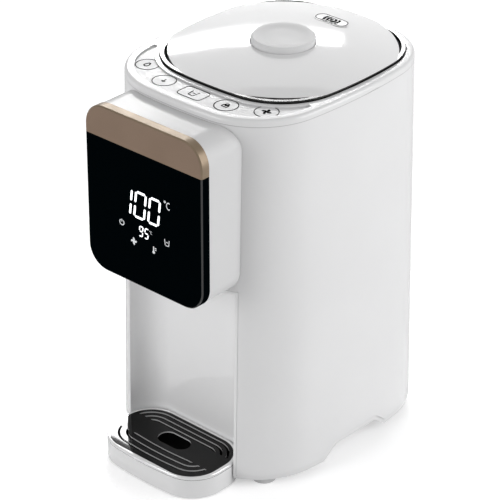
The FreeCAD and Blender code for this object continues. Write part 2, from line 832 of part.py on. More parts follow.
def base_chassis():
    """The base moulding: visible skirt, floor, upstand, tray tongue and two finger grips."""
    skirt = body_prism("-base_inset", "foot_height", "shell_bottom")
    skirt_hollow = body_prism(SKIRT_INSET, FLOOR_TOP, "shell_bottom + 1")
    upstand = cut(body_prism(WALL_INSET, "foot_height", "%s + base_wall_height" % FLOOR_TOP),
                  body_prism(SKIRT_INSET, FLOOR_TOP, "%s + base_wall_height + 1" % FLOOR_TOP))
    reach = "(body_half_width - grip_depth - base_wall)"
    wide = "(grip_half_length + 2 * grip_slope)"
    roof = "foot_height + grip_height + base_wall"
    ledges = []
    for x0, x1 in ((reach, "body_half_width"), ("-body_half_width", "-" + reach)):
        ledges.append(common(block(x0, x1, "-" + wide, wide, FLOOR_TOP, roof),
                             body_prism(WALL_INSET, "foot_height", roof)))
    rims = []
    for side in (1, -1):
        rims.append(common(body_prism("-base_inset", "foot_height", "shell_bottom + grip_height"),
                           grip_wedge("shell_bottom - foot_height", side)))
    tongue = block("-tongue_half_width", "tongue_half_width", "-tongue_reach", "-(bay_back_y - grip_depth)",
                   "foot_height + tongue_rise - tongue_thick", "foot_height + tongue_rise")
    bosses = [rod("boss_radius", x, y, FLOOR_TOP, "boss_height") for x, y in GRILLE_SCREWS]
    posts = [rod("boss_radius", "board_x + (%s)" % x, y, FLOOR_TOP, "board_level - %s" % FLOOR_TOP)
             for x, y in BOARD_POSTS]
    bay_cut = bay_prism("0", "foot_height - 1", FLOOR_TOP)
    liner_cut = bay_prism("bay_wall + gap", FLOOR_TOP, "shell_bottom + grip_depth * 2")
    hole_x = "(grille_half_width - grille_ledge)"
    hole_y = "(grille_half_depth - grille_ledge)"
    opening = block("-" + hole_x, hole_x, "fan_y - " + hole_y, "fan_y + " + hole_y, "0", FLOOR_TOP)
    rebate_x = "(grille_half_width + gap)"
    rebate_y = "(grille_half_depth + gap)"
    rebate = block("-" + rebate_x, rebate_x, "fan_y - " + rebate_y, "fan_y + " + rebate_y, "0",
                   "foot_height + grille_thick")
    moulding = fuse(cut(skirt, skirt_hollow), upstand, *ledges, *rims)
    moulding = cut(moulding, grip_wedge("0", 1), grip_wedge("0", -1), bay_cut, liner_cut)
    moulding = cut(fuse(moulding, tongue, *bosses, *posts), opening, rebate,
                   *screw_holes(GRILLE_SCREWS, "foot_height", True))
    return node(moulding, "base_chassis")


def bottom_cover():
    """The vented plate under the fan, let into the floor from below."""
    plate = block("-grille_half_width", "grille_half_width", "fan_y - grille_half_depth",
                  "fan_y + grille_half_depth", "foot_height", "foot_height + grille_thick")
    slots = []
    count = int(number("grille_slots"))
    for index in range(count):
        middle = "(%d * grille_slot_pitch)" % (index - count // 2)
        slots.append(block("%s - grille_slot_width / 2" % middle, "%s + grille_slot_width / 2" % middle,
                           "fan_y - fan_half_width", "fan_y + fan_half_width", "0", FLOOR_TOP))
    return node(cut(plate, *slots, *screw_holes(GRILLE_SCREWS, "foot_height", True)), "bottom_cover")


def rubber_feet():
    for name, (x, y) in FOOT_PLACES.items():
        foot = cut(rod("foot_radius", x, y, "0", "foot_height"),
                   rod("foot_hollow_radius", x, y, "-1", "foot_hollow_depth + 1"))
        node(foot, "rubber_foot_" + name)


# Outer shell and cup bay
def outer_shell():
    """The drafted white sleeve, cut away for the cup bay, the head, the grips and the inlet."""
    sleeve = cut(body_prism("0", "shell_bottom", "shell_top"),
                 body_prism("-shell_wall", "shell_bottom", "shell_top"))
    bay = bay_prism("bay_wall + gap", "0", "head_bottom + bay_wall + gap")
    window = block("-window_half_width", "window_half_width", "-" + FAR, "-bay_back_y", "window_bottom",
                   "window_top")
    inlet = block("-(inlet_half_width + gap)", "inlet_half_width + gap", "bay_back_y", FAR,
                  "inlet_level - inlet_half_height - gap", "inlet_level + inlet_half_height + gap")
    lift = "shell_bottom - foot_height + gap"
    return node(cut(sleeve, bay, window, inlet, grip_wedge(lift, 1), grip_wedge(lift, -1)), "outer_shell")


def bay_liner():
    """The glossy U-shaped wall and ceiling of the cup bay, flush with the shell's face."""
    walls = cut(bay_prism("bay_wall", FLOOR_TOP, "head_bottom + bay_wall"),
                bay_prism("0", FLOOR_TOP, "head_bottom"))
    return node(common(walls, body_prism("0", FLOOR_TOP, "shell_top")), "bay_liner")


# Head
BEZEL_BACK = "(head_front_y - bezel_depth)"


def head_housing():
    """The white box that carries the display and spout out from the shell."""
    outer = head_prism("-housing_inset", "bay_back_y", BEZEL_BACK)
    inner = head_prism("-(housing_inset + housing_wall)", "bay_back_y - 1", BEZEL_BACK)
    envelope = body_prism("gap", "shell_bottom", "shell_top")
    hatch = block("-cover_half_width", "cover_half_width", "-cover_front_y", "-cover_back_y",
                  "head_bottom - 1", "head_bottom + housing_inset + housing_wall + 1")
    return node(cut(outer, inner, envelope, hatch), "head_housing")


def bezel_shell():
    """The shallow rounded cap over the head's front: a bevelled face and a short side wall."""
    outer = round_edges(head_prism("0", BEZEL_BACK, "head_front_y"), "Y", "-head_front_y",
                        "bezel_wall / 2", "Chamfer")
    return cut(outer, head_prism("-bezel_wall", BEZEL_BACK, "head_front_y - bezel_wall"))


def bezel_half(label, z0, z1):
    part_of_it = block("-body_half_width", "body_half_width", "-" + FAR, "0", z0, z1)
    return node(common(bezel_shell(), part_of_it), label)


def display_carrier():
    """The white plate that closes the housing and holds the board behind the glass."""
    inset = "-(housing_inset + housing_wall + gap)"
    return node(head_prism(inset, BEZEL_BACK + " - carrier_thick", BEZEL_BACK), "display_carrier")


BOARD_FRONT = "(%s + board_thick)" % BEZEL_BACK


def display_board():
    board = block("-display_board_half_width", "display_board_half_width", "-" + BOARD_FRONT,
                  "-" + BEZEL_BACK, "display_board_bottom", "display_board_top")
    return node(board, "display_board")


def display_module():
    """The numeral block between the board and the glass, with the small numerals' block below it."""
    front, back = "-(head_front_y - bezel_wall - gap)", "-" + BOARD_FRONT
    low = "(display_centre_z - display_half_height)"
    large = block("display_centre_x - display_half_width", "display_centre_x + display_half_width",
                  front, back, low, "display_centre_z + display_half_height")
    small = block("-small_display_half_width", "small_display_half_width", front, back,
                  low + " - small_display_height", low)
    return node(fuse(large, small), "display_module")


def status_lamps():
    """Four round lamps behind the symbols: two beside the small numerals, two below them."""
    lamps = []
    for x, rise in (("lamp_outer_x", "lamp_outer_rise"), ("lamp_inner_x", "lamp_inner_rise")):
        for side in ("", "-"):
            lamps.append(rod("lamp_radius", side + x, "-(head_front_y - bezel_wall - gap)",
                             "head_bottom + " + rise, "bezel_depth - bezel_wall - gap - board_thick", "y"))
    return node(group(*lamps), "status_lamps")


COVER_BOTTOM = "(head_bottom + housing_inset)"
COVER_TOP = "(%s + housing_wall)" % COVER_BOTTOM
COVER_SCREWS = [(side + "(cover_half_width - 2 * screw_head)", "-(cover_front_y + cover_back_y) / 2")
                for side in ("", "-")]


def spout_cover():
    """The plate under the head: it fills the hatch, and its flange lies on the housing inside."""
    plate = block("-(cover_half_width - gap)", "cover_half_width - gap", "-(cover_front_y - gap)",
                  "-(cover_back_y + gap)", COVER_BOTTOM, COVER_TOP)
    flange = block("-(cover_half_width + cover_thick)", "cover_half_width + cover_thick",
                   "-(cover_front_y + gap)", "-(cover_back_y - cover_thick)", COVER_TOP,
                   "%s + cover_thick" % COVER_TOP)
    hole = rod("spout_radius + gap", "0", "-spout_y", "head_bottom", "spout_radius")
    screws_through = screw_holes(COVER_SCREWS, COVER_BOTTOM, True)
    return node(cut(fuse(plate, flange), hole, *screws_through), "spout_cover")


def spout_nozzle():
    """The round outlet: a short nose below the head, a flange inside and a neck for the hose."""
    low = "%s - spout_drop" % COVER_BOTTOM
    flange = "(%s + cover_thick)" % COVER_TOP
    neck = "hose_bore - running_gap"
    corners = [("spout_bore", low), ("spout_radius - 1", low), ("spout_radius", low + " + 1"),
               ("spout_radius", flange), ("spout_radius + cover_thick", flange),
               ("spout_radius + cover_thick", flange + " + cover_thick"), (neck, flange + " + cover_thick"),
               (neck, "spout_neck_top"), (neck + " - 1", "spout_neck_top"), (neck + " - 1", flange),
               ("spout_bore", flange)]
    return node(turned(corners), "spout_nozzle", y="-spout_y")


# Drip tray
TONGUE_TOP = "(foot_height + tongue_rise)"


def drip_tray():
    """The white tray: a skirt down to the table, a basin floor that rides on the base's tongue."""
    floor_low = TONGUE_TOP + " + gap"
    floor_high = "%s + gap + tray_floor" % TONGUE_TOP
    outer = tray_prism("0", "tray_bottom", "tray_top")
    basin = tray_prism("-tray_wall", floor_high, "tray_top")
    under = tray_prism("-tray_wall", "0", floor_low)
    mouth = block("-(tongue_half_width + tray_gap)", "tongue_half_width + tray_gap",
                  "-(bay_back_y + tray_corner)", "0", "0", floor_low)
    return node(cut(outer, basin, under, mouth), "drip_tray")


def curved_slots(edge, spacing, front):
    """Three slots that run parallel to the tray's edge, kept to the front or the rear part."""
    far_end = "-" + FAR
    limits = (far_end, "-front_slot_end") if front else ("-rear_slot_end", "0")
    half = block("-body_half_width", "body_half_width", limits[0], limits[1], "tray_top", "plate_top + 1")
    made = []
    for index in range(3):
        inset = "(%s + %d * %s)" % (edge, index, spacing)
        band = cut(tray_prism("-" + inset, "tray_top", "plate_top + 1"),
                   tray_prism("-(%s + slot_width)" % inset, "tray_top", "plate_top + 1"))
        made.append(common(band, half))
    return made


def tray_plate():
    """The polished steel plate: a rolled rim, six curved slots and an oval drain."""
    seat_level = "(tray_top + gap)"
    outer = round_edges(tray_prism("0", seat_level, "plate_top"), "Z", "plate_top", "plate_rounding")
    under = tray_prism("-plate_thick", "tray_top", "plate_top - plate_thick")
    drain = oval_prism("drain_half_length", "drain_half_depth", "0", "-drain_y", "tray_top",
                       "plate_top + 1")
    slots = (curved_slots("front_slot_edge", "front_slot_spacing", True)
             + curved_slots("rear_slot_edge", "rear_slot_spacing", False))
    return node(cut(outer, under, drain, *slots), "tray_plate")


# Collar and touch panel
SHELF_TOP = "(shelf_level + shelf_thick)"
ROOF = "(panel_level - panel_thick - collar_roof)"
BOLT_BOTTOM = "(%s + lid_body_floor + seal_width / 2 + gap * 2 + cam_thick)" % SHELF_TOP
KEYS = [("key_inner_x", "key_inner_y"), ("-key_inner_x", "key_inner_y"), ("0", "key_middle_y"),
        ("key_outer_x", "key_outer_y"), ("-key_outer_x", "key_outer_y")]


def front_crescent(outer, inner, end, z0, z1):
    """The strip in front of the lid, between the body's outline and the lid's."""
    strip = cut(body_prism(outer, z0, z1), lid_prism(inner, z0, z1))
    return common(strip, block("-body_half_width", "body_half_width", "-" + FAR, "-" + end, z0, z1))


def bolt_window(side, x0, x1):
    """A slot for one bolt through an upright wall."""
    low, high = (x0, x1) if side > 0 else ("-(%s)" % x1, "-(%s)" % x0)
    return block(low, high, "lid_y - bolt_half_width - gap", "lid_y + bolt_half_width + gap",
                 BOLT_BOTTOM + " - gap", BOLT_BOTTOM + " + bolt_thick + gap")


def top_collar():
    """The white collar: rounded crest, skirt inside the shell, lid well and pot shelf."""
    crest = round_edges(body_prism("0", "shell_top", "shell_top + collar_rise"), "Z",
                        "shell_top + collar_rise", "collar_rounding")
    skirt = cut(body_prism(WALL_INSET, "shell_top - collar_skirt", "shell_top"),
                body_prism(WALL_INSET + " - collar_skirt_wall", "shell_top - collar_skirt", "shell_top"))
    well = lid_prism("well_wall", "shelf_level", "shell_top + 1")
    hollow = lid_prism("0", SHELF_TOP, "knob_top")
    mouth = rod("shelf_hole", "0", "lid_y", "0", "knob_top")
    recess = front_crescent("-panel_edge", "panel_inner", "panel_end_y", "panel_level - panel_thick",
                            "shell_top + 2 * collar_rise")
    bay = front_crescent("-(panel_edge - gap)", "panel_inner - gap", "panel_end_y", "shell_top", ROOF)
    windows = [bolt_window(side, "lid_half_width - well_wall", "body_half_width") for side in (1, -1)]
    shell_side = body_prism("-(shell_wall + gap)", "shelf_level - 1", "shell_top")
    return node(cut(fuse(crest, skirt, common(well, fuse(shell_side, crest))), hollow, mouth, recess, bay,
                    *windows), "top_collar")


def touch_panel():
    film = front_crescent("-(panel_edge + gap / 2)", "panel_inner + gap / 2", "(panel_end_y + gap / 2)",
                          "panel_level - panel_thick", "panel_level")
    return node(film, "touch_panel")


def touch_key_board():
    """The key board under the collar's roof, with one sensor can below each key."""
    board = front_crescent("-panel_edge", "panel_inner", "(panel_end_y + gap)",
                           ROOF + " - board_thick", ROOF)
    cans = [rod("sensor_radius", x, "-" + y, ROOF + " - 2 * board_thick", "board_thick") for x, y in KEYS]
    room = cut(body_prism("-panel_edge", "shell_top - board_thick", ROOF),
               lid_prism("well_wall + gap", "shell_top - board_thick", ROOF))
    return node(common(fuse(board, *cans), room), "touch_key_board")


# Lid
LID_EDGE = "-lid_gap"
LID_BODY_BOTTOM = "(%s + seal_width / 2)" % SHELF_TOP
LID_BODY_FLOOR = "(%s + lid_body_floor)" % LID_BODY_BOTTOM
CAM_BOTTOM = "(%s + gap)" % LID_BODY_FLOOR
WELL_FLOOR = "(lid_crown - knob_well_depth)"
LID_SCREWS = corner_places("lid_screw_x", "lid_screw_y", "lid_y")
VENT_Y = "(lid_y + vent_y)"


def domed(grow, z0, drop):
    """The lid's outline under a very large sphere, which gives its shallow dome."""
    top = lid_prism(grow, z0, "lid_crown + 1")
    return common(top, ball("lid_dome - (%s)" % drop, "0", "lid_y", "lid_crown - lid_dome"))


def lid_cover():
    """The glossy dome with the knob's well, the vent's oval hole and four screw bosses."""
    shell = cut(domed(LID_EDGE, "lid_cover_bottom", "0"),
                domed("-(lid_gap + lid_cover_wall)", "lid_cover_bottom", "lid_cover_wall"))
    cup = rod("knob_radius + lid_gap + knob_well_wall", "0", "lid_y", WELL_FLOOR + " - knob_well_wall",
              "knob_well_depth")
    dome = ball("lid_dome - lid_cover_wall / 2", "0", "lid_y", "lid_crown - lid_dome")
    bosses = [common(rod("boss_radius", x, y, LID_BODY_FLOOR, "lid_crown - %s" % LID_BODY_FLOOR), dome)
              for x, y in LID_SCREWS]
    well = rod("knob_radius + lid_gap", "0", "lid_y", WELL_FLOOR, "knob_top")
    bore = rod("shaft_radius + running_gap", "0", "lid_y", "shelf_level", "knob_top")
    vent = oval_prism("vent_half_length + gap / 2", "vent_half_width + gap / 2", "0", VENT_Y, "shelf_level",
                      "knob_top")
    holes = screw_holes(LID_SCREWS, LID_BODY_BOTTOM, True)
    return node(cut(fuse(shell, cup, *bosses), well, bore, vent, *holes), "lid_cover")


def lid_band():
    """The black band round the lid's edge, a little inside the dome."""
    inset = "lid_gap + gap"
    return node(cut(lid_prism("-(%s)" % inset, "lid_band_bottom", "lid_cover_bottom"),
                    lid_prism("-(%s + lid_band_wall)" % inset, "lid_band_bottom", "lid_cover_bottom")),
                "lid_band")


def lid_body():
    """The white carrier inside the lid: floor, upright wall, bolt slots and vent hole."""
    outer = lid_prism(LID_EDGE, LID_BODY_BOTTOM, "lid_band_bottom")
    inner = lid_prism("-(lid_gap + lid_body_wall)", LID_BODY_FLOOR, "lid_band_bottom")
    windows = [bolt_window(side, "lid_half_width / 2", "body_half_width") for side in (1, -1)]
    vent = rod("vent_tube_radius + running_gap", "0", VENT_Y, "shelf_level", "knob_top")
    holes = screw_holes(LID_SCREWS, LID_BODY_BOTTOM, True)
    return node(cut(outer, inner, vent, *windows, *holes), "lid_body")


def lid_inner_plate():
    """The steel dish that hangs into the pot's mouth, with steam holes below the vent."""
    inner = "plug_radius - plug_wall"
    corners = [("0", "plug_bottom"), ("plug_radius - plug_rounding", "plug_bottom"),
               ("plug_radius", "plug_bottom + plug_rounding"), ("plug_radius", LID_BODY_BOTTOM),
               (inner, LID_BODY_BOTTOM), (inner, "plug_bottom + plug_rounding + plug_wall / 2"),
               ("plug_radius - plug_rounding - plug_wall / 2", "plug_bottom + plug_wall"),
               ("0", "plug_bottom + plug_wall")]
    holes = []
    for index in range(6):
        angle = "%d * 60deg" % index
        x = "steam_hole_circle * cos(%s)" % angle
        y = "vent_y + steam_hole_circle * sin(%s)" % angle
        holes.append(rod("steam_hole_radius", x, y, "plug_bottom - 1", "3 * plug_wall + 1"))
    return node(cut(turned(corners), *holes), "lid_inner_plate", y="lid_y")


def lid_seal():
    inner = "plug_radius + gap / 2"
    low = SHELF_TOP + " + gap"
    corners = [(inner, low), (inner + " + seal_width", low), (inner + " + seal_width", LID_BODY_BOTTOM),
               (inner, LID_BODY_BOTTOM)]
    return node(turned(corners), "lid_seal", y="lid_y")


def lid_knob():
    """The round twist knob: bevelled edge, narrow rim and a shallow dished top."""
    low = WELL_FLOOR + " + gap"
    corners = [("0", low), ("knob_radius - 1", low), ("knob_radius", low + " + 1"),
               ("knob_radius", "knob_top - knob_edge"), ("knob_radius - knob_edge", "knob_top"),
               ("knob_radius - knob_rim", "knob_top"), ("knob_dish_radius", "knob_top - knob_dish_step"),
               ("0", "knob_top - knob_dish")]
    return node(turned(corners), "lid_knob", y="lid_y")


def cam_slot(start_angle):
    """One curved slot in the cam: the bolt's pin slides out along it as the cam turns."""
    reach = [number("cam_pin_start") + share * number("bolt_travel") for share in (0, 0.5, 1)]
    angles = [math.radians(start_angle - share * number("bolt_turn")) for share in (0, 0.5, 1)]
    track = [Vector(r * math.cos(angle), r * math.sin(angle), 0) for r, angle in zip(reach, angles)]
    path = Part.Arc(*track).toShape()
    wide = number("cam_pin_radius + running_gap")
    circle = path.Curve
    centre = circle.Center
    depth = number("cam_thick") + 2
    outer = Part.makeCylinder(circle.Radius + wide, depth, centre)
    inner = Part.makeCylinder(circle.Radius - wide, depth, centre)
    big = 4 * number("cam_radius")
    corners = [centre]
    first, last = track[0] - centre, track[2] - centre
    corners.append(centre + first.normalize() * big)
    corners.append(centre + (track[1] - centre).normalize() * big * 2)
    corners.append(centre + last.normalize() * big)
    wedge = Part.Face(Part.makePolygon(corners + [centre])).extrude(Vector(0, 0, depth))
    swept = outer.cut(inner).common(wedge)
    ends = [Part.makeCylinder(wide, depth, point) for point in (track[0], track[2])]
    return swept.fuse(ends)


def knob_shaft():
    """The knob's shaft and the cam below it, whose two slots drive the bolts."""
    solid = Part.makeCylinder(number("cam_radius"), number("cam_thick"))
    for start_angle in (0, 180):
        slot = cam_slot(start_angle)
        slot.translate(Vector(0, 0, -1))
        solid = solid.cut(slot)
    cam = solid_of(solid)
    seat(cam, "0", "lid_y", CAM_BOTTOM)
    shaft = rod("shaft_radius", "0", "lid_y", CAM_BOTTOM, "%s + gap - %s" % (WELL_FLOOR, CAM_BOTTOM))
    return node(fuse(cam, shaft), "knob_shaft")


def latch_bolts():
    """Two flat bolts with a pin each: the pin rides in the cam, the tip enters the collar."""
    for name, side in (("right", 1), ("left", -1)):
        tip = "lid_half_width - lid_gap - gap"
        low, high = ("bolt_inner_x", tip) if side > 0 else ("-(%s)" % tip, "-bolt_inner_x")
        bar = block(low, high, "lid_y - bolt_half_width", "lid_y + bolt_half_width", BOLT_BOTTOM,
                    BOLT_BOTTOM + " + bolt_thick")
        pin = rod("cam_pin_radius", "%d * cam_pin_start" % side, "lid_y", CAM_BOTTOM + " + gap",
                  "cam_thick + gap")
        node(fuse(bar, pin), "latch_bolt_" + name)


def vent_cap():
    """The oval steam badge with two curved slots each side of a round hole."""
    low = "vent_tube_top"
    high = "lid_crown - vent_y * vent_y / (2 * lid_dome) + vent_cap_rise"
    badge = oval_prism("vent_half_length", "vent_half_width", "0", VENT_Y, low, high)
    slots = [rod("vent_cap_slot", "0", VENT_Y, "shelf_level", "knob_top")]
    for step in (1, 2):
        inner = "(%d * vent_slot_pitch)" % step
        band = cut(rod(inner + " + vent_cap_slot", "0", VENT_Y, "shelf_level", "knob_top"),
                   rod(inner, "0", VENT_Y, "shelf_level", "knob_top"))
        for side in (1, -1):
            x0, x1 = ("vent_slot_pitch / 2", "vent_half_length") if side > 0 else (
                "-vent_half_length", "-vent_slot_pitch / 2")
            slots.append(common(band, block(x0, x1, VENT_Y + " - vent_slot_reach",
                                            VENT_Y + " + vent_slot_reach", "shelf_level", "knob_top")))
    return node(cut(badge, *slots), "vent_cap")


SEAT_LEVEL = "(%s - seal_width)" % LID_BODY_BOTTOM


def vent_tube():
    """The steam tube through the lid, with a narrow seat for the spill ball at its foot."""
    low = SEAT_LEVEL + " - seal_width"
    corners = [("vent_seat", low), ("vent_tube_radius", low), ("vent_tube_radius", "vent_tube_top"),
               ("vent_bore", "vent_tube_top"), ("vent_bore", SEAT_LEVEL), ("vent_seat", SEAT_LEVEL)]
    return node(turned(corners), "vent_tube", y=VENT_Y)


def spill_ball():
    """The ball that closes the tube when the pot tips, resting on the rim of its seat."""
    lift = "sqrt(ball_radius * ball_radius - vent_seat * vent_seat)"
    return node(ball("ball_radius", "0", VENT_Y, "%s + %s" % (SEAT_LEVEL, lift)), "spill_ball")


def lid_screws():
    return node(group(*screw_set(LID_SCREWS, LID_BODY_BOTTOM, True)), "lid_screws")


# Inner pot and heater
GASKET_BOTTOM = "(shelf_level - gasket_thick)"
FLANGE_BOTTOM = "(%s - pot_wall)" % GASKET_BOTTOM
OUTLET_Y = "(-(pump_y + lid_y))"


def inner_pot():
    """The steel pot: straight wall, rounded foot, flat flange and a short outlet below."""
    outer = "pot_radius + pot_wall"
    shell = turned([("0", "pot_bottom"), (outer, "pot_bottom"), (outer, FLANGE_BOTTOM),
                    (outer + " + flange_width", FLANGE_BOTTOM), (outer + " + flange_width", GASKET_BOTTOM),
                    ("0", GASKET_BOTTOM)])
    round_edges(shell, "Z", "pot_bottom", "pot_rounding + pot_wall")
    cavity = round_edges(turned([("0", POT_BOTTOM_TOP), ("pot_radius", POT_BOTTOM_TOP),
                                 ("pot_radius", "shelf_level"), ("0", "shelf_level")]),
                         "Z", POT_BOTTOM_TOP, "pot_rounding")
    stub = rod("pump_neck_radius", "0", OUTLET_Y, "pump_neck_top + gap * 4", "pot_bottom - pump_neck_top")
    bore = rod("hose_bore", "0", OUTLET_Y, "pump_neck_top", "pot_bottom")
    return node(cut(fuse(cut(shell, cavity), stub), bore), "inner_pot", y="lid_y")


def ring_node(label, inner, outer, low, high):
    """A plain turned ring about the pot's axis."""
    return node(turned([(inner, low), (outer, low), (outer, high), (inner, high)]), label, y="lid_y")


def heating_plate():
    """The cast plate under the pot with its round heater tube and a hole for the sensor."""
    plate = rod("heater_radius", "0", "0", "pot_bottom - heater_thick", "heater_thick")
    tube = ring("heater_ring", "heater_tube_radius", "0", "0", "pot_bottom - heater_thick")
    hole = rod("sensor_body + gap", "0", "0", "0", "pot_bottom")
    return node(cut(fuse(plate, tube), hole), "heating_plate", y="lid_y")


def temperature_sensor():
    return node(rod("sensor_body", "0", "0", "pot_bottom - heater_thick - sensor_height",
                    "heater_thick + sensor_height"), "temperature_sensor", y="lid_y")


def thermal_cutout():
    low = "pot_bottom - heater_thick - cutout_height"
    return node(rod("cutout_radius", "0", "0", low, "cutout_height"), "thermal_cutout", x="cutout_x", y="lid_y")


def pot_posts():
    """Four posts that carry the pot's foot from the base floor."""
    posts = []
    for side in (1, -1):
        for way in (1, -1):
            posts.append(rod("post_radius", "%d * post_circle * cos(post_angle * 1deg)" % side,
                             "%d * post_circle * sin(post_angle * 1deg)" % way, FLOOR_TOP,
                             "pot_bottom - %s" % FLOOR_TOP))
    return node(group(*posts), "pot_posts", y="lid_y")


# Pump and hoses
def pump_housing():
    """The pump's drum with its neck above, its side outlet and a hole for the motor's shaft."""
    inner = "pump_radius - pump_wall"
    drum = turned([("hose_bore", "pump_top"), ("hose_bore", "pump_neck_top"),
                   ("pump_neck_radius", "pump_neck_top"), ("pump_neck_radius", "pump_top"),
                   ("pump_radius", "pump_top"), ("pump_radius", "pump_bottom"),
                   ("motor_shaft_radius + running_gap", "pump_bottom"),
                   ("motor_shaft_radius + running_gap", "pump_bottom + pump_wall"),
                   (inner, "pump_bottom + pump_wall"), (inner, "pump_top - pump_wall"),
                   ("hose_bore", "pump_top - pump_wall")])
    level = "(pump_bottom + pump_top) / 2"
    inside = rod(inner, "0", "0", "pump_bottom + pump_wall", "pump_top - pump_bottom - 2 * pump_wall")
    reach = "pump_radius + pump_outlet_length"
    pipe = cut(rod("hose_bore - running_gap", "0", "-pump_outlet_offset", level, reach, "x"), inside)
    bore = rod("hose_bore - 1", "0", "-pump_outlet_offset", level, reach + " + 1", "x")
    return node(cut(fuse(drum, pipe), bore), "pump_housing", y="-pump_y")


def pump_motor():
    """The motor's can on the base floor, bored for its shaft."""
    can = rod("motor_radius", "0", "0", FLOOR_TOP, "pump_bottom - %s" % FLOOR_TOP)
    bore = rod("motor_shaft_radius + running_gap", "0", "0", FLOOR_TOP + " + pump_wall", "pump_bottom")
    return node(cut(can, bore), "pump_motor", y="-pump_y")


IMPELLER_BOTTOM = "(pump_bottom + pump_wall + gap)"


def pump_impeller():
    """A disc with straight vanes on top, on the motor's shaft."""
    disc = rod("impeller_radius", "0", "0", IMPELLER_BOTTOM, "pump_wall")
    vanes = []
    count = int(number("impeller_vanes"))
    for index in range(count):
        vane = block("motor_shaft_radius", "impeller_radius - gap", "-pump_wall / 4", "pump_wall / 4",
                     IMPELLER_BOTTOM, IMPELLER_BOTTOM + " + impeller_thick")
        turn = 360.0 * index / count
        along = "motor_shaft_radius * cos(%f * 1deg)" % turn, "motor_shaft_radius * sin(%f * 1deg)" % turn
        aside = "pump_wall / 4 * sin(%f * 1deg)" % turn, "pump_wall / 4 * cos(%f * 1deg)" % turn
        seat(vane, "%s + %s" % (along[0], aside[0]), "%s - %s" % (along[1], aside[1]), IMPELLER_BOTTOM,
             FreeCAD.Rotation(Vector(0, 0, 1), turn))
        vanes.append(vane)
    hub = rod("motor_shaft_radius * 2", "0", "0", IMPELLER_BOTTOM, "impeller_thick")
    bore = rod("motor_shaft_radius", "0", "0", IMPELLER_BOTTOM, "impeller_thick")
    return node(cut(fuse(disc, hub, *vanes), bore), "pump_impeller", y="-pump_y")


def motor_shaft():
    return node(rod("motor_shaft_radius", "0", "0", FLOOR_TOP + " + pump_wall + gap",
                    "pump_bottom + impeller_thick - %s - gap" % FLOOR_TOP), "motor_shaft", y="-pump_y")


def inlet_sleeve():
    """The short silicone sleeve that joins the pot's outlet to the pump's neck."""
    return node(turned([("pump_neck_radius", "pump_top + pump_wall"),
                        ("pump_neck_radius + pump_wall", "pump_top + pump_wall"),
                        ("pump_neck_radius + pump_wall", "pot_bottom - pump_wall"),
                        ("pump_neck_radius", "pot_bottom - pump_wall")]), "inlet_sleeve", y="-pump_y")


def riser_hose():
    """The silicone hose from the pump's outlet, up behind the bay and over to the spout."""
    start_x = number("pump_radius + gap * 4")
    start_y = number("-(pump_y + pump_outlet_offset)")
    start_z = number("(pump_bottom + pump_top) / 2")
    rise_x = number("pump_radius + hose_offset")
    rise_y = number("-(bay_back_y - bay_wall - hose_radius - pump_neck_radius)")
    low_z = number("shield_bottom")
    high_z = number("window_top - hose_top_drop")
    spout_y = number("-spout_y")
    spout_z = number("(%s + 2 * cover_thick) + gap" % COVER_TOP)
    points = [
        Vector(start_x, start_y, start_z),
        Vector(rise_x, start_y, start_z),
        Vector(rise_x, rise_y, low_z),
        Vector(rise_x, rise_y, high_z),
        Vector(0, spout_y, high_z),
        Vector(0, spout_y, spout_z),
    ]
    radius = number("hose_bend")
    path = round_path(points, radius)
    start = points[0]
    outside = Part.makeCircle(number("hose_radius"), start, Vector(1, 0, 0))
    inside = Part.makeCircle(number("hose_bore"), start, Vector(1, 0, 0))
    solid = path.makePipeShell([Part.Wire(outside)], True)
    bore = path.makePipeShell([Part.Wire(inside)], True)
    return node(solid_of(solid.cut(bore)), "riser_hose")


# Fan and electrics
FAN_BOTTOM = "(foot_height + grille_thick)"


def fan_frame():
    """The square fan frame on the bottom cover: round bore, hub, struts and axle pin."""
    square = block("-fan_half_width", "fan_half_width", "-fan_half_width", "fan_half_width", FAN_BOTTOM,
                   FAN_BOTTOM + " + fan_thick")
    bore = rod("fan_bore", "0", "0", FAN_BOTTOM, "fan_thick")
    hub = rod("fan_hub", "0", "0", FAN_BOTTOM, "fan_strut / 2")
    axle = rod("fan_axle", "0", "0", FAN_BOTTOM, "fan_thick - fan_strut")
    reach = "(fan_bore + fan_strut / 4)"
    strut_top = FAN_BOTTOM + " + fan_strut / 2"
    struts = [
        block("-" + reach, reach, "-fan_strut / 2", "fan_strut / 2", FAN_BOTTOM, strut_top),
        block("-fan_strut / 2", "fan_strut / 2", "-" + reach, reach, FAN_BOTTOM, strut_top),
    ]
    return node(fuse(cut(square, bore), hub, axle, *struts), "fan_frame", y="fan_y")


def fan_rotor():
    """The fan's hub and its pitched blades, which clear the frame's bore."""
    low = FAN_BOTTOM + " + fan_strut / 2 + gap * 2"
    tall = "fan_thick - fan_strut"
    hub = rod("fan_hub", "0", "0", low, tall)
    blades = []
    count = int(number("fan_blades"))
    for index in range(count):
        blade = document.addObject("Part::Box", "Blade")
        bind(blade, "Length", "fan_blade_tip")
        bind(blade, "Width", "fan_strut / 2")
        bind(blade, "Height", "fan_thick")
        around = FreeCAD.Rotation(Vector(0, 0, 1), 360.0 * index / count)
        pitch = FreeCAD.Rotation(Vector(1, 0, 0), number("fan_pitch"))
        seat(blade, "0", "0", FAN_BOTTOM, around.multiply(pitch))
        blades.append(blade)
    sweep = rod("fan_blade_tip", "0", "0", low, tall)
    bore = rod("fan_axle + running_gap", "0", "0", FAN_BOTTOM, "fan_thick")
    return node(cut(fuse(hub, common(fuse(*blades), sweep)), bore), "fan_rotor", y="fan_y")


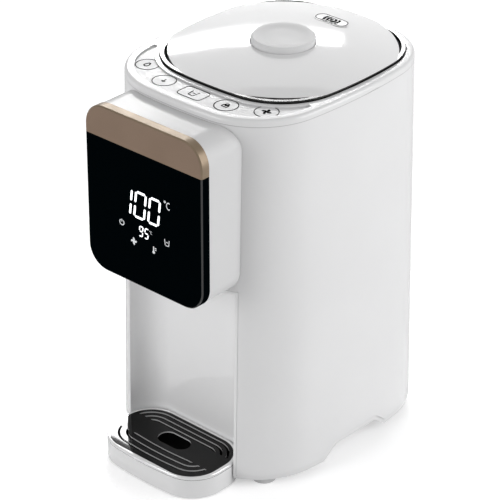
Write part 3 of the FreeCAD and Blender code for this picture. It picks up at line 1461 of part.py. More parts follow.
def power_board():
    """The power board on its four posts, with a relay, a transformer and a terminal block."""
    top = "(board_level + board_thick)"
    board = block("-board_half_width", "board_half_width", "-board_half_depth", "board_half_depth",
                  "board_level", top)
    front = "-board_half_depth + relay_front"
    relay_x = "-board_half_width + relay_side"
    relay = block(relay_x, relay_x + " + relay_width", front, front + " + relay_depth", top,
                  top + " + relay_height")
    coil = block("0", "board_half_width - relay_side", front, front + " + coil_depth", top,
                 top + " + coil_height")
    back = "board_half_depth - terminal_back"
    terminal = block("-board_half_width + terminal_side", "board_half_width - terminal_side",
                     back + " - terminal_depth", back, top, top + " + terminal_height")
    return node(fuse(board, relay, coil, terminal), "power_board", x="board_x", y="board_y")


INLET_FACE = "(body_half_depth - inlet_recess)"


def power_inlet():
    """The moulded mains inlet in the shell's back, with its socket open to the rear."""
    block_body = block("-inlet_half_width", "inlet_half_width", INLET_FACE + " - inlet_depth", INLET_FACE,
                       "inlet_level - inlet_half_height", "inlet_level + inlet_half_height")
    socket = block("-socket_half_width", "socket_half_width", INLET_FACE + " - socket_depth", INLET_FACE,
                   "inlet_level - socket_half_height", "inlet_level + socket_half_height")
    return node(cut(block_body, socket), "power_inlet")


def inlet_pins():
    pins = []
    for step, rise in ((-1, 0), (0, 1), (1, 0)):
        middle = "%d * pin_spacing" % step
        level = "inlet_level + %d * pin_half_height" % rise
        pins.append(block(middle + " - pin_half_width", middle + " + pin_half_width",
                          INLET_FACE + " - socket_depth", INLET_FACE + " - socket_depth + pin_length",
                          level + " - pin_half_height", level + " + pin_half_height"))
    return node(group(*pins), "inlet_pins")


def screws():
    node(group(*screw_set(GRILLE_SCREWS, "foot_height", True)), "bottom_screws")
    node(group(*screw_set(COVER_SCREWS, COVER_BOTTOM, True)), "spout_cover_screws")
    lid_screws()


def build():
    base_chassis()
    bottom_cover()
    rubber_feet()
    outer_shell()
    bay_liner()
    head_housing()
    bezel_half("gold_band", "band_bottom", "head_top + 1")
    bezel_half("display_glass", "head_bottom - 1", "band_bottom")
    display_carrier()
    display_board()
    display_module()
    status_lamps()
    spout_cover()
    spout_nozzle()
    drip_tray()
    tray_plate()
    top_collar()
    touch_panel()
    touch_key_board()
    lid_cover()
    lid_band()
    lid_body()
    lid_inner_plate()
    lid_seal()
    lid_knob()
    knob_shaft()
    latch_bolts()
    vent_cap()
    vent_tube()
    spill_ball()
    inner_pot()
    ring_node("pot_gasket", "pot_radius + pot_wall", "pot_radius + pot_wall + gasket_width", GASKET_BOTTOM,
              "shelf_level")
    ring_node("heat_shield", "shield_radius - shield_wall", "shield_radius", "shield_bottom", FLANGE_BOTTOM)
    heating_plate()
    temperature_sensor()
    thermal_cutout()
    pot_posts()
    pump_housing()
    pump_motor()
    pump_impeller()
    motor_shaft()
    inlet_sleeve()
    riser_hose()
    fan_frame()
    fan_rotor()
    power_board()
    power_inlet()
    inlet_pins()
    screws()


def write_parts():
    """Check every object and every shape, then write one file for each sub-part."""
    document.recompute()
    for thing in document.Objects:
        if "Invalid" in thing.State or "Error" in thing.State:
            raise RuntimeError("%s could not be built: %s" % (thing.Label, thing.State))
    for thing in nodes:
        shape = thing.Shape
        if shape.isNull() or not shape.isValid():
            raise RuntimeError("%s has no sound shape" % thing.Label)
    os.makedirs("parts", exist_ok=True)
    for thing in nodes:
        thing.Shape.exportStep("parts/%s.step" % thing.Label)
        shape = thing.Shape
        print("%-22s solids %2d  volume %10.1f" % (thing.Label, len(shape.Solids), shape.Volume))


build()
write_parts()
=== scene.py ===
# %% [markdown]
# An electric thermo pot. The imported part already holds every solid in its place, so this lesson
# gives each one its finish, prints the display and the keys on it, and sets a plain studio round it.
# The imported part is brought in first, because everything else is measured from it.

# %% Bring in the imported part
import json
import math

import bpy
from mathutils import Matrix, Quaternion, Vector


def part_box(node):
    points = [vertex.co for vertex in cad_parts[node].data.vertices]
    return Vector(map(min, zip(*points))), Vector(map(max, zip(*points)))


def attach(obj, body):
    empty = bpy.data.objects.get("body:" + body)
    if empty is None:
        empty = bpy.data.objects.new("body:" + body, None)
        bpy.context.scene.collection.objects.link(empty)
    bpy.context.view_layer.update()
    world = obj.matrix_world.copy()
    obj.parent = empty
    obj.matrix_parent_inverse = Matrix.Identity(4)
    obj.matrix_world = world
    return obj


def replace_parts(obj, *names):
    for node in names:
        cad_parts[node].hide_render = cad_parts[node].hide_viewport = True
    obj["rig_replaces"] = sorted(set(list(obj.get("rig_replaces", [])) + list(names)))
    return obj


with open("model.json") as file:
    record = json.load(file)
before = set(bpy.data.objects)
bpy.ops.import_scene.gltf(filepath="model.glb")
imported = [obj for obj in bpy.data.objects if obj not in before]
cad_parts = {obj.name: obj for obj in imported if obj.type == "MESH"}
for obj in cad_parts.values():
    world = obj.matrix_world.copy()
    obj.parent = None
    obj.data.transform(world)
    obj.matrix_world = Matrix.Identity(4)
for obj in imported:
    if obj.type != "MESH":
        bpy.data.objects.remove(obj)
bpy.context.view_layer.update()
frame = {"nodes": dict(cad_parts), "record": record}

MM = 0.001

# %% [markdown]
# A few heights and depths are needed again and again. They are read from the solids' own boxes,
# so that a changed part carries its marks along. The dome's radius is written down, because no box
# tells it.

# %% Levels taken from the solids


def low_and_high(node):
    """The two corners of one node's box."""
    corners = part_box(node)
    return Vector(corners[0]), Vector(corners[1])


GLASS_FRONT = low_and_high("display_glass")[0].y
HEAD_BOTTOM = low_and_high("display_glass")[0].z
PANEL_TOP = low_and_high("touch_panel")[1].z
LID_MIDDLE_Y = sum(corner.y for corner in low_and_high("lid_cover")) / 2
LID_CROWN = low_and_high("lid_cover")[1].z
BODY_Y = sum(corner.y for corner in low_and_high("outer_shell")) / 2
DOME_RADIUS = 640 * MM
VENT_TOP = low_and_high("vent_cap")[1].z
print("glass at", round(GLASS_FRONT / MM, 1), "panel at", round(PANEL_TOP / MM, 1))

# %% [markdown]
# Every finish starts from one plain shader with a colour, a roughness and a metal share.
# Small helpers then add what makes a surface look real: a roughness that wanders a little, a faint
# orange peel or grain that tilts the light, and a colour that drifts between two close tones. All
# patterns are placed by the object's own coordinates, so they stay put when a piece moves.

# %% Helpers for materials


def plain(name, colour, roughness, metal=0.0):
    """A new material with one plain shader."""
    material = bpy.data.materials.new(name)
    material.use_nodes = True
    shader = material.node_tree.nodes["Principled BSDF"]
    shader.inputs["Base Color"].default_value = (*colour, 1)
    shader.inputs["Roughness"].default_value = roughness
    shader.inputs["Metallic"].default_value = metal
    return material


def shader_of(material):
    return material.node_tree.nodes["Principled BSDF"]


def speckle(material, scale, stretch=(1, 1, 1)):
    """A noise pattern placed by object coordinates, stretched along the axes if asked."""
    nodes = material.node_tree.nodes
    links = material.node_tree.links
    place = nodes.new("ShaderNodeTexCoord")
    mapping = nodes.new("ShaderNodeMapping")
    mapping.inputs["Scale"].default_value = stretch
    noise = nodes.new("ShaderNodeTexNoise")
    noise.inputs["Scale"].default_value = scale
    noise.inputs["Detail"].default_value = 3
    links.new(place.outputs["Object"], mapping.inputs["Vector"])
    links.new(mapping.outputs["Vector"], noise.inputs["Vector"])
    return noise.outputs["Fac"]


def wander(material, scale, low, high, stretch=(1, 1, 1)):
    """Let the roughness wander between two values."""
    nodes = material.node_tree.nodes
    links = material.node_tree.links
    spread = nodes.new("ShaderNodeMapRange")
    spread.inputs["From Min"].default_value = 0.3
    spread.inputs["From Max"].default_value = 0.7
    spread.inputs["To Min"].default_value = low
    spread.inputs["To Max"].default_value = high
    links.new(speckle(material, scale, stretch), spread.inputs["Value"])
    links.new(spread.outputs["Result"], shader_of(material).inputs["Roughness"])


def grain(material, scale, height, strength=1.0, stretch=(1, 1, 1)):
    """A fine relief, its height in metres."""
    nodes = material.node_tree.nodes
    links = material.node_tree.links
    bump = nodes.new("ShaderNodeBump")
    bump.inputs["Strength"].default_value = strength
    bump.inputs["Distance"].default_value = height
    links.new(speckle(material, scale, stretch), bump.inputs["Height"])
    links.new(bump.outputs["Normal"], shader_of(material).inputs["Normal"])


def tint(material, scale, first, second):
    """Let the colour drift between two close tones."""
    nodes = material.node_tree.nodes
    links = material.node_tree.links
    ramp = nodes.new("ShaderNodeValToRGB")
    ramp.color_ramp.elements[0].position = 0.35
    ramp.color_ramp.elements[0].color = (*first, 1)
    ramp.color_ramp.elements[1].position = 0.65
    ramp.color_ramp.elements[1].color = (*second, 1)
    links.new(speckle(material, scale), ramp.inputs["Fac"])
    links.new(ramp.outputs["Color"], shader_of(material).inputs["Base Color"])


def grey(value):
    return (value, value, value * 1.005)


print("helpers ready")

# %% [markdown]
# The body is injection-moulded white plastic with a high gloss. Under a lamp such a wall shows a
# very shallow orange peel and a roughness that differs a little from place to place. The bay's
# liner and the lid have the highest polish, and the head and the knob are softer. The base and the
# inner mouldings come from the same plastic with a satin tool face. The touch panel and the vent's
# badge are greyer.

# %% White plastics


def white_gloss():
    material = plain("white_gloss", grey(0.80), 0.16)
    tint(material, 9, grey(0.79), grey(0.81))
    wander(material, 14, 0.12, 0.20)
    grain(material, 160, 0.00002, 0.25)
    return material


def lid_gloss():
    material = plain("lid_gloss", grey(0.80), 0.07)
    shader_of(material).inputs["Specular IOR Level"].default_value = 0.30
    tint(material, 9, grey(0.79), grey(0.81))
    wander(material, 20, 0.05, 0.10)
    grain(material, 90, 0.00002, 0.2)
    return material


def head_gloss_shaded():
    """The head: the same plastic with a softer polish, so it mirrors the lamps less, coloured a darker
    grey than the body as painted shade that tones down its top.
    """
    material = plain("head_gloss_shaded", grey(0.70), 0.22)
    shader_of(material).inputs["Specular IOR Level"].default_value = 0.12
    tint(material, 9, grey(0.69), grey(0.71))
    wander(material, 20, 0.18, 0.27)
    grain(material, 160, 0.00002, 0.25)
    return material


def knob_satin():
    """The knob has a fine matt face without a mirror image, so its dish stays soft."""
    material = plain("knob_satin", grey(0.74), 0.45)
    shader_of(material).inputs["Specular IOR Level"].default_value = 0.08
    tint(material, 20, grey(0.73), grey(0.75))
    wander(material, 50, 0.40, 0.50)
    grain(material, 1400, 0.00002, 0.4)
    return material


def white_satin():
    material = plain("white_satin", grey(0.76), 0.38)
    tint(material, 14, grey(0.75), grey(0.77))
    wander(material, 40, 0.34, 0.44)
    grain(material, 1400, 0.00002, 0.5)
    return material


def liner_grey():
    material = plain("liner_grey", grey(0.86), 0.06)
    shader_of(material).inputs["Specular IOR Level"].default_value = 0.8
    tint(material, 8, grey(0.85), grey(0.87))
    wander(material, 18, 0.04, 0.09)
    grain(material, 60, 0.00002, 0.2)
    return material


def panel_grey():
    material = plain("panel_grey", grey(0.69), 0.3)
    shader_of(material).inputs["Specular IOR Level"].default_value = 0.2
    tint(material, 20, grey(0.68), grey(0.70))
    wander(material, 50, 0.26, 0.36)
    grain(material, 2200, 0.00001, 0.4)
    return material


print("white plastics ready")

# %% [markdown]
# The strip over the display is plastic under a champagne metal paint. The flakes are too small to
# see one by one, so a fine grain in the relief and a part metal shader stand for them.

# %% Champagne strip and black glass


def gold_satin():
    material = plain("gold_satin", (0.225, 0.152, 0.103), 0.36, 0.25)
    tint(material, 30, (0.219, 0.147, 0.099), (0.233, 0.158, 0.108))
    wander(material, 60, 0.32, 0.42)
    grain(material, 3000, 0.00001, 0.35)
    return material


def gold_edge_highlight():
    """The bevel and side of the strip, coloured lighter than its front as a painted highlight."""
    material = plain("gold_edge_highlight", (0.26, 0.195, 0.13), 0.36, 0.4)
    tint(material, 60, (0.25, 0.187, 0.124), (0.275, 0.207, 0.138))
    wander(material, 80, 0.32, 0.42)
    grain(material, 3000, 0.00001, 0.3)
    return material


def glass_edge_highlight():
    """The ground and polished bevel round the glass, coloured lighter than the black front as a painted
    highlight.
    """
    material = plain("glass_edge_highlight", grey(0.045), 0.12)
    wander(material, 80, 0.08, 0.2)
    grain(material, 200, 0.00001, 0.2)
    return material


def black_glass():
    material = plain("black_glass", (0.0006, 0.0016, 0.0022), 0.05)
    shader_of(material).inputs["Specular IOR Level"].default_value = 0.0
    wander(material, 30, 0.035, 0.08)
    grain(material, 25, 0.00001, 0.1)
    return material


def black_plastic():
    material = plain("black_plastic", grey(0.010), 0.25)
    tint(material, 40, grey(0.008), grey(0.013))
    wander(material, 70, 0.18, 0.32)
    grain(material, 1500, 0.00002, 0.4)
    return material


def lid_black():
    material = plain("lid_black", grey(0.006), 0.12)
    wander(material, 60, 0.08, 0.18)
    grain(material, 700, 0.00001, 0.3)
    return material


print("strip, glass and black plastic ready")

# %% [markdown]
# The drip plate is polished steel. Its flat top is painted dark, a painted reflection that stands for the
# dark head mirrored in it, and its rolled edge is painted bright, a painted highlight. One material does
# both: the way the surface faces, and how near the outline it lies, decide the tone, so the painted
# highlight stays on the edge all round and where the plate is cut.

# %% Polished plate
PLATE_LOW, PLATE_HIGH = low_and_high("tray_plate")
PLATE_CORNER = 29 * MM
# The width of the painted highlight round the plate's outline.
HIGHLIGHT_WIDTH = 3.2 * MM
EDGE_BLEND = 0.4 * MM


def near_outline(material):
    """One where a place lies close to the plate's rounded outline, nought farther in: the mask of the
    edge's painted highlight.

    A place is measured from the plate's middle, laid flat and folded into one quarter. How far it
    lies past the middle of the rounded corner then grows up to the corner's radius at the outline.
    """
    nodes = material.node_tree.nodes
    links = material.node_tree.links
    middle = (PLATE_LOW + PLATE_HIGH) / 2
    straight = (PLATE_HIGH - PLATE_LOW) / 2 - Vector((PLATE_CORNER, PLATE_CORNER, 0))
    place = nodes.new("ShaderNodeTexCoord")
    steps = []
    for operation, amount in (("SUBTRACT", (middle.x, middle.y, 0)), ("MULTIPLY", (1, 1, 0)),
                              ("ABSOLUTE", None), ("SUBTRACT", (straight.x, straight.y, 0)),
                              ("MAXIMUM", (0, 0, 0)), ("LENGTH", None)):
        step = nodes.new("ShaderNodeVectorMath")
        step.operation = operation
        if amount:
            step.inputs[1].default_value = amount
        steps.append(step)
    links.new(place.outputs["Object"], steps[0].inputs[0])
    for before, after in zip(steps, steps[1:]):
        links.new(before.outputs["Vector"], after.inputs[0])
    edge = nodes.new("ShaderNodeMapRange")
    edge.inputs["From Min"].default_value = PLATE_CORNER - HIGHLIGHT_WIDTH
    edge.inputs["From Max"].default_value = PLATE_CORNER - HIGHLIGHT_WIDTH + EDGE_BLEND
    links.new(steps[-1].outputs["Value"], edge.inputs["Value"])
    return edge.outputs["Result"]


def mirror_steel():
    """Painted dark on the flat top as a painted reflection, and a painted highlight on every edge: bright
    and less metallic.
    """
    material = plain("mirror_steel", grey(0.10), 0.05, 1.0)
    nodes = material.node_tree.nodes
    links = material.node_tree.links
    facing = nodes.new("ShaderNodeNewGeometry")
    parts = nodes.new("ShaderNodeSeparateXYZ")
    sideways = nodes.new("ShaderNodeMapRange")
    sideways.inputs["From Min"].default_value = 0.985
    sideways.inputs["From Max"].default_value = 0.9
    painted_highlight = nodes.new("ShaderNodeMath")
    painted_highlight.operation = "MAXIMUM"
    ramp = nodes.new("ShaderNodeValToRGB")
    # The ramp runs from the painted dark reflection on the flat top to the painted highlight on the
    # edges.
    ramp.color_ramp.elements[0].color = (*grey(0.022), 1)
    ramp.color_ramp.elements[1].color = (*grey(0.86), 1)
    links.new(facing.outputs["Normal"], parts.inputs["Vector"])
    links.new(parts.outputs["Z"], sideways.inputs["Value"])
    links.new(sideways.outputs["Result"], painted_highlight.inputs[0])
    links.new(near_outline(material), painted_highlight.inputs[1])
    links.new(painted_highlight.outputs["Value"], ramp.inputs["Fac"])
    links.new(ramp.outputs["Color"], shader_of(material).inputs["Base Color"])
    metal_share = nodes.new("ShaderNodeMapRange")
    metal_share.inputs["To Min"].default_value = 1.0
    metal_share.inputs["To Max"].default_value = 0.4
    links.new(painted_highlight.outputs["Value"], metal_share.inputs["Value"])
    links.new(metal_share.outputs["Result"], shader_of(material).inputs["Metallic"])
    wander(material, 35, 0.03, 0.08)
    grain(material, 40, 0.00001, 0.12)
    return material


print("plate spans", [round(value / MM, 1) for value in PLATE_HIGH - PLATE_LOW], "mm")

# %% [markdown]
# Inside the pot are drawn steel, sheet metal, a cast heater, plated screws and brass pins. They are
# hardly seen, but the lid lifts off, so each gets its own finish. Drawn steel carries fine lines
# round the pot, which a noise squeezed in height gives.

# %% Metals


def brushed_steel():
    material = plain("brushed_steel", grey(0.80), 0.34, 0.85)
    wander(material, 12, 0.28, 0.42, (1, 1, 60))
    grain(material, 30, 0.00001, 0.12, (1, 1, 90))
    return material


def sheet_metal():
    material = plain("sheet_metal", (0.56, 0.57, 0.58), 0.36, 1.0)
    wander(material, 60, 0.30, 0.46)
    grain(material, 250, 0.00003, 0.3)
    return material


def cast_aluminium():
    material = plain("cast_aluminium", (0.50, 0.50, 0.49), 0.55, 1.0)
    wander(material, 120, 0.48, 0.64)
    grain(material, 900, 0.00008, 0.6)
    return material


def plated_steel():
    material = plain("plated_steel", (0.60, 0.60, 0.62), 0.28, 1.0)
    wander(material, 300, 0.22, 0.36)
    grain(material, 1800, 0.00002, 0.4)
    return material


def pin_brass():
    material = plain("pin_brass", (0.62, 0.44, 0.20), 0.25, 1.0)
    wander(material, 400, 0.2, 0.34)
    grain(material, 1500, 0.00001, 0.3)
    return material


print("metals ready")

# %% [markdown]
# The rest is nylon, silicone, rubber, green boards, a lamp lens, the inks and a flat black for painted
# shade. The lit segments glow by themselves. The dark ink has no sheen, so it stays dark where it would
# mirror a lamp.

# %% Plastics, rubber, boards and inks


def nylon():
    material = plain("nylon", (0.66, 0.64, 0.58), 0.42)
    wander(material, 60, 0.38, 0.50)
    grain(material, 900, 0.00002, 0.4)
    return material


def shade_and_joint_dark():
    # A flat black: painted shade in the vent tube, in the drip tray's basin and over the vent's slots,
    # and the dark joint line round the vent badge.
    material = plain("shade_and_joint_dark", grey(0.008), 0.5)
    shader_of(material).inputs["Specular IOR Level"].default_value = 0.0
    wander(material, 200, 0.4, 0.6)
    grain(material, 900, 0.00002, 0.4)
    return material


def silicone():
    material = plain("silicone", (0.62, 0.62, 0.60), 0.34)
    shader_of(material).inputs["Transmission Weight"].default_value = 0.15
    wander(material, 60, 0.28, 0.42)
    grain(material, 600, 0.00002, 0.3)
    return material


def foot_rubber():
    material = plain("foot_rubber", grey(0.62), 0.6)
    tint(material, 200, grey(0.59), grey(0.65))
    wander(material, 200, 0.52, 0.70)
    grain(material, 1500, 0.00005, 0.5)
    return material


def circuit_board():
    material = plain("circuit_board", (0.02, 0.12, 0.05), 0.3)
    tint(material, 300, (0.015, 0.10, 0.04), (0.03, 0.14, 0.06))
    wander(material, 250, 0.22, 0.40)
    grain(material, 700, 0.00004, 0.5)
    return material


def lamp_lens():
    material = plain("lamp_lens", (0.8, 0.84, 0.86), 0.3)
    wander(material, 300, 0.25, 0.4)
    grain(material, 900, 0.00001, 0.3)
    return material


def lit_white():
    """The glow of the display's segments."""
    material = plain("lit_white", grey(0.9), 0.4)
    shader_of(material).inputs["Emission Color"].default_value = (0.93, 0.97, 1.0, 1)
    shader_of(material).inputs["Emission Strength"].default_value = 1.0
    wander(material, 600, 0.35, 0.5)
    return material


def lit_dim():
    """The same glow for the small symbols, which are fainter."""
    material = plain("lit_dim", grey(0.35), 0.4)
    shader_of(material).inputs["Emission Color"].default_value = (0.93, 0.97, 1.0, 1)
    shader_of(material).inputs["Emission Strength"].default_value = 0.45
    wander(material, 600, 0.35, 0.5)
    return material


def print_dark():
    material = plain("print_dark", grey(0.008), 0.5)
    shader_of(material).inputs["Specular IOR Level"].default_value = 0.0
    wander(material, 900, 0.35, 0.5)
    grain(material, 3000, 0.000005, 0.3)
    return material


def print_pale():
    material = plain("print_pale", grey(0.50), 0.35)
    wander(material, 900, 0.3, 0.45)
    grain(material, 3000, 0.000005, 0.3)
    return material


print("other materials ready")

# %% [markdown]
# A list says which sub-parts share which finish. A sub-part that isn't seen keeps its own solid
# and only takes the material.

# %% Which sub-part has which finish
FINISHES = {
    white_gloss: ["outer_shell", "top_collar", "drip_tray"],
    lid_gloss: ["lid_cover"],
    head_gloss_shaded: ["head_housing"],
    white_satin: ["base_chassis", "bottom_cover", "display_carrier", "spout_cover", "lid_body"],
    liner_grey: ["bay_liner"],
    panel_grey: ["touch_panel", "vent_cap"],
    knob_satin: ["lid_knob"],
    gold_satin: ["gold_band"],
    black_glass: ["display_glass"],
    black_plastic: ["display_module", "pump_housing", "fan_frame", "fan_rotor", "power_inlet",
                    "thermal_cutout", "pump_impeller"],
    lid_black: ["lid_band"],
    lamp_lens: ["status_lamps"],
    mirror_steel: ["tray_plate"],
    brushed_steel: ["inner_pot", "lid_inner_plate", "spill_ball", "motor_shaft", "pump_motor"],
    sheet_metal: ["heat_shield", "latch_bolt_right", "latch_bolt_left"],
    cast_aluminium: ["heating_plate"],
    nylon: ["knob_shaft", "pot_posts", "spout_nozzle"],
    # The vent tube takes the flat black as painted shade, so the vent's holes read dark.
    shade_and_joint_dark: ["vent_tube"],
    silicone: ["lid_seal", "pot_gasket", "inlet_sleeve", "riser_hose"],
    foot_rubber: ["rubber_foot_front_left", "rubber_foot_front_right", "rubber_foot_back_left",
                  "rubber_foot_back_right"],
    circuit_board: ["display_board", "touch_key_board", "power_board"],
    plated_steel: ["bottom_screws", "spout_cover_screws", "lid_screws", "temperature_sensor"],
    pin_brass: ["inlet_pins"],
}
for make_finish, names in FINISHES.items():
    finish = make_finish()
    for name in names:
        surface = frame["nodes"][name].data
        surface.materials.clear()
        surface.materials.append(finish)
print("finishes:", len(FINISHES), "on", sum(len(names) for names in FINISHES.values()), "sub-parts")

# %% [markdown]
# The solids come in as loose triangles, so a glossy curved wall would show its facets. Each piece
# that shows is therefore copied, its doubled corners are merged, and its faces are shaded smooth
# up to a crease angle. The copy then stands for the solid and moves with the same body.

# %% Smooth copies of what shows
CREASE = math.radians(24)
SAME_PLACE = 0.000002
BODY_OF = {node: body for body, names in frame["record"]["behaviour"]["bodies"].items() for node in names}
SLOT_OF = {
    "outer_shell": "white_gloss",
    "top_collar": "white_gloss",
    "head_housing": "white_gloss",
    "drip_tray": "white_gloss",
    "lid_cover": "white_gloss",
    "lid_knob": "white_satin",
    "base_chassis": "white_satin",
    "bay_liner": "liner_grey",
    "touch_panel": "panel_grey",
    "vent_cap": "white_satin",
    "gold_band": "gold_satin",
    "display_glass": "black_glass",
    "lid_band": "black_plastic",
    "tray_plate": "mirror_steel",
    "inner_pot": "brushed_steel",
    "lid_inner_plate": "brushed_steel",
}


def only(piece):
    """Select one object and nothing else."""
    bpy.ops.object.select_all(action="DESELECT")
    piece.select_set(True)
    bpy.context.view_layer.objects.active = piece


def edit(piece):
    only(piece)
    bpy.ops.object.mode_set(mode="EDIT")
    bpy.ops.mesh.select_all(action="SELECT")


def done():
    bpy.ops.object.mode_set(mode="OBJECT")


def smooth_copy(node):
    """A smooth copy that stands for one solid and moves with its body."""
    source = frame["nodes"][node]
    piece = source.copy()
    piece.data = source.data.copy()
    piece.name = node + "_smooth"
    piece.parent = None
    piece.matrix_world = Matrix.Identity(4)
    bpy.context.scene.collection.objects.link(piece)
    only(piece)
    bpy.ops.mesh.customdata_custom_splitnormals_clear()
    edit(piece)
    bpy.ops.mesh.remove_doubles(threshold=SAME_PLACE)
    done()
    bpy.ops.object.shade_smooth_by_angle(angle=CREASE)
    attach(piece, BODY_OF[node])
    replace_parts(piece, node)
    return piece


smooth_pieces = {node: smooth_copy(node) for node, slot in SLOT_OF.items()}
print("smooth copies:", len(smooth_pieces))

# %% [markdown]
# Some faces of a piece carry a second finish: a painted highlight on the bevel of the strip and of the
# glass, and painted shade on the inside of the drip tray. They are picked out by the way they face and by
# their height.

# %% Second finishes on some faces


def second_finish(piece, material, wanted):
    """Give the faces that a test picks a second material."""
    piece.data.materials.append(material)
    found = 0
    for face in piece.data.polygons:
        if wanted(face):
            face.material_index = 1
            found += 1
    print(piece.name, "second finish on", found, "faces")


def is_bevel(face):
    return 0.3 < -face.normal.y < 0.95


def is_strip_edge(face):
    return -face.normal.y < 0.95


TRAY_LOW, TRAY_HIGH = low_and_high("drip_tray")
TRAY_MIDDLE = (TRAY_LOW + TRAY_HIGH) / 2
FLOOR_FROM = TRAY_LOW.z + 6 * MM
WALL_FROM = TRAY_LOW.z + 8 * MM


def is_tray_inside(face):
    """The basin's floor and walls, and the narrow ledge that the plate lies on, which take painted shade.
    """
    inwards = Vector((TRAY_MIDDLE.x - face.center.x, TRAY_MIDDLE.y - face.center.y, 0))
    floor_like = face.normal.z > 0.5 and face.center.z > FLOOR_FROM
    upright = abs(face.normal.z) < 0.5 and face.normal.dot(inwards) > 0
    return floor_like or (upright and face.center.z > WALL_FROM)


second_finish(smooth_pieces["display_glass"], glass_edge_highlight(), is_bevel)
second_finish(smooth_pieces["gold_band"], gold_edge_highlight(), is_strip_edge)
# The tray's basin is painted black as painted shade, so the plate's slots read dark.
second_finish(smooth_pieces["drip_tray"], shade_and_joint_dark(), is_tray_inside)

# %% [markdown]
# The touch panel is a film let into the collar, and its edge reads as a fine grey line. The top of
# the film is inset by the line's width, and the narrow faces that this leaves take a darker finish.

# %% Outline of the touch panel
PANEL_LINE = 0.4 * MM


def on_top(face):
    return face.normal.z > 0.9 and face.center.z > PANEL_TOP - 0.1 * MM


def outlined(piece, line, material):
    """A fine line round the flat top of the panel."""
    piece.data.materials.append(material)
    edit(piece)
    bpy.ops.mesh.select_mode(type="FACE")
    bpy.ops.mesh.select_all(action="DESELECT")
    done()
    for face in piece.data.polygons:
        face.select = on_top(face)
    bpy.ops.object.mode_set(mode="EDIT")
    bpy.ops.mesh.inset(thickness=line, use_even_offset=True)
    done()
    for face in piece.data.polygons:
        if on_top(face) and not face.select:
            face.material_index = 1


outlined(smooth_pieces["touch_panel"], PANEL_LINE, print_pale())
print("panel faces:", len(smooth_pieces["touch_panel"].data.polygons))

# %% [markdown]
# Where the collar sits on the shell there is a fine shadow line round the whole body. A thin slice
# is cut from a copy of the shell at that height and grown by a hair, so it lies over the joint.

# %% Shadow line under the collar
SHELL_TOP = low_and_high("outer_shell")[1].z
LINE_HIGH = SHELL_TOP - 0.02 * MM
LINE_LOW = SHELL_TOP - 0.5 * MM
LINE_GROWTH = 1.0006


def shadow_line(node, low, high, grow, name):
    """A slice of a sub-part between two heights, a little larger than the sub-part."""
    line = smooth_pieces[node].copy()
    line.data = line.data.copy()
    line.name = name
    line.parent = None
    line.matrix_world = Matrix.Identity(4)
    del line["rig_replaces"]
    bpy.context.scene.collection.objects.link(line)
    edit(line)
    bpy.ops.mesh.bisect(plane_co=(0, 0, low), plane_no=(0, 0, 1), clear_inner=True, use_fill=False)
    bpy.ops.mesh.select_all(action="SELECT")
    bpy.ops.mesh.bisect(plane_co=(0, 0, high), plane_no=(0, 0, 1), clear_outer=True, use_fill=False)
    bpy.ops.mesh.select_all(action="SELECT")
    bpy.ops.transform.resize(value=(grow, grow, 1), center_override=(0, BODY_Y, low))
    done()
    line.data.materials.clear()
    line.data.materials.append(print_pale())
    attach(line, "pot_body")
    return line


collar_line = shadow_line("outer_shell", LINE_LOW, LINE_HIGH, LINE_GROWTH, "collar_line")
print("collar line faces:", len(collar_line.data.polygons))

# %% [markdown]
# The marks on the glass, the keys and the lid are all thin flat shapes. Four small builders are
# enough: a bar with cut corners, a disc, a hoop and a rounded frame. Each is modelled flat at the
# origin from a primitive, then moved to its place in its own mesh, and the shapes of one mark are
# joined.

# %% Builders for flat marks
INK = 0.00012
RISE = 0.00003
CUT_CORNER = 0.45


def thicken(piece):
    """Raise a flat face into a very thin solid."""
    edit(piece)
    bpy.ops.mesh.extrude_region_move(TRANSFORM_OT_translate={"value": (0, 0, INK)})
    bpy.ops.mesh.select_all(action="SELECT")
    bpy.ops.mesh.normals_make_consistent(inside=False)
    done()


def moved(piece, x, y, turn=0.0):
    """Turn a shape in its plane and take it to its place, all in the mesh."""
    piece.data.transform(Matrix.Translation((x, y, 0)) @ Matrix.Rotation(turn, 4, "Z"))
    return piece


def bar(x, y, length, thick, turn=0.0):
    """A bar with bevelled corners about a middle point."""
    bpy.ops.object.select_all(action="DESELECT")
    bpy.ops.mesh.primitive_plane_add(size=1)
    piece = bpy.context.object
    piece.data.transform(Matrix.Diagonal((length, thick, 1, 1)))
    edit(piece)
    bpy.ops.mesh.bevel(offset=CUT_CORNER * min(length, thick), affect="VERTICES", segments=1)
    done()
    thicken(piece)
    return moved(piece, x, y, turn)


def disc(x, y, radius):
    """A round dot."""
    bpy.ops.object.select_all(action="DESELECT")
    bpy.ops.mesh.primitive_circle_add(vertices=32, radius=radius, fill_type="NGON")
    piece = bpy.context.object
    thicken(piece)
    return moved(piece, x, y)


def hoop(x, y, radius, line, open_above=None):
    """A ring of a line's width, cut off above a height if asked."""
    bpy.ops.object.select_all(action="DESELECT")
    bpy.ops.mesh.primitive_circle_add(vertices=64, radius=radius, fill_type="NGON")
    piece = bpy.context.object
    edit(piece)
    bpy.ops.mesh.inset(thickness=line)
    bpy.ops.mesh.delete(type="FACE")
    if open_above is not None:
        bpy.ops.mesh.select_all(action="SELECT")
        bpy.ops.mesh.bisect(plane_co=(0, open_above, 0), plane_no=(0, 1, 0), clear_outer=True)
    done()
    thicken(piece)
    return moved(piece, x, y)


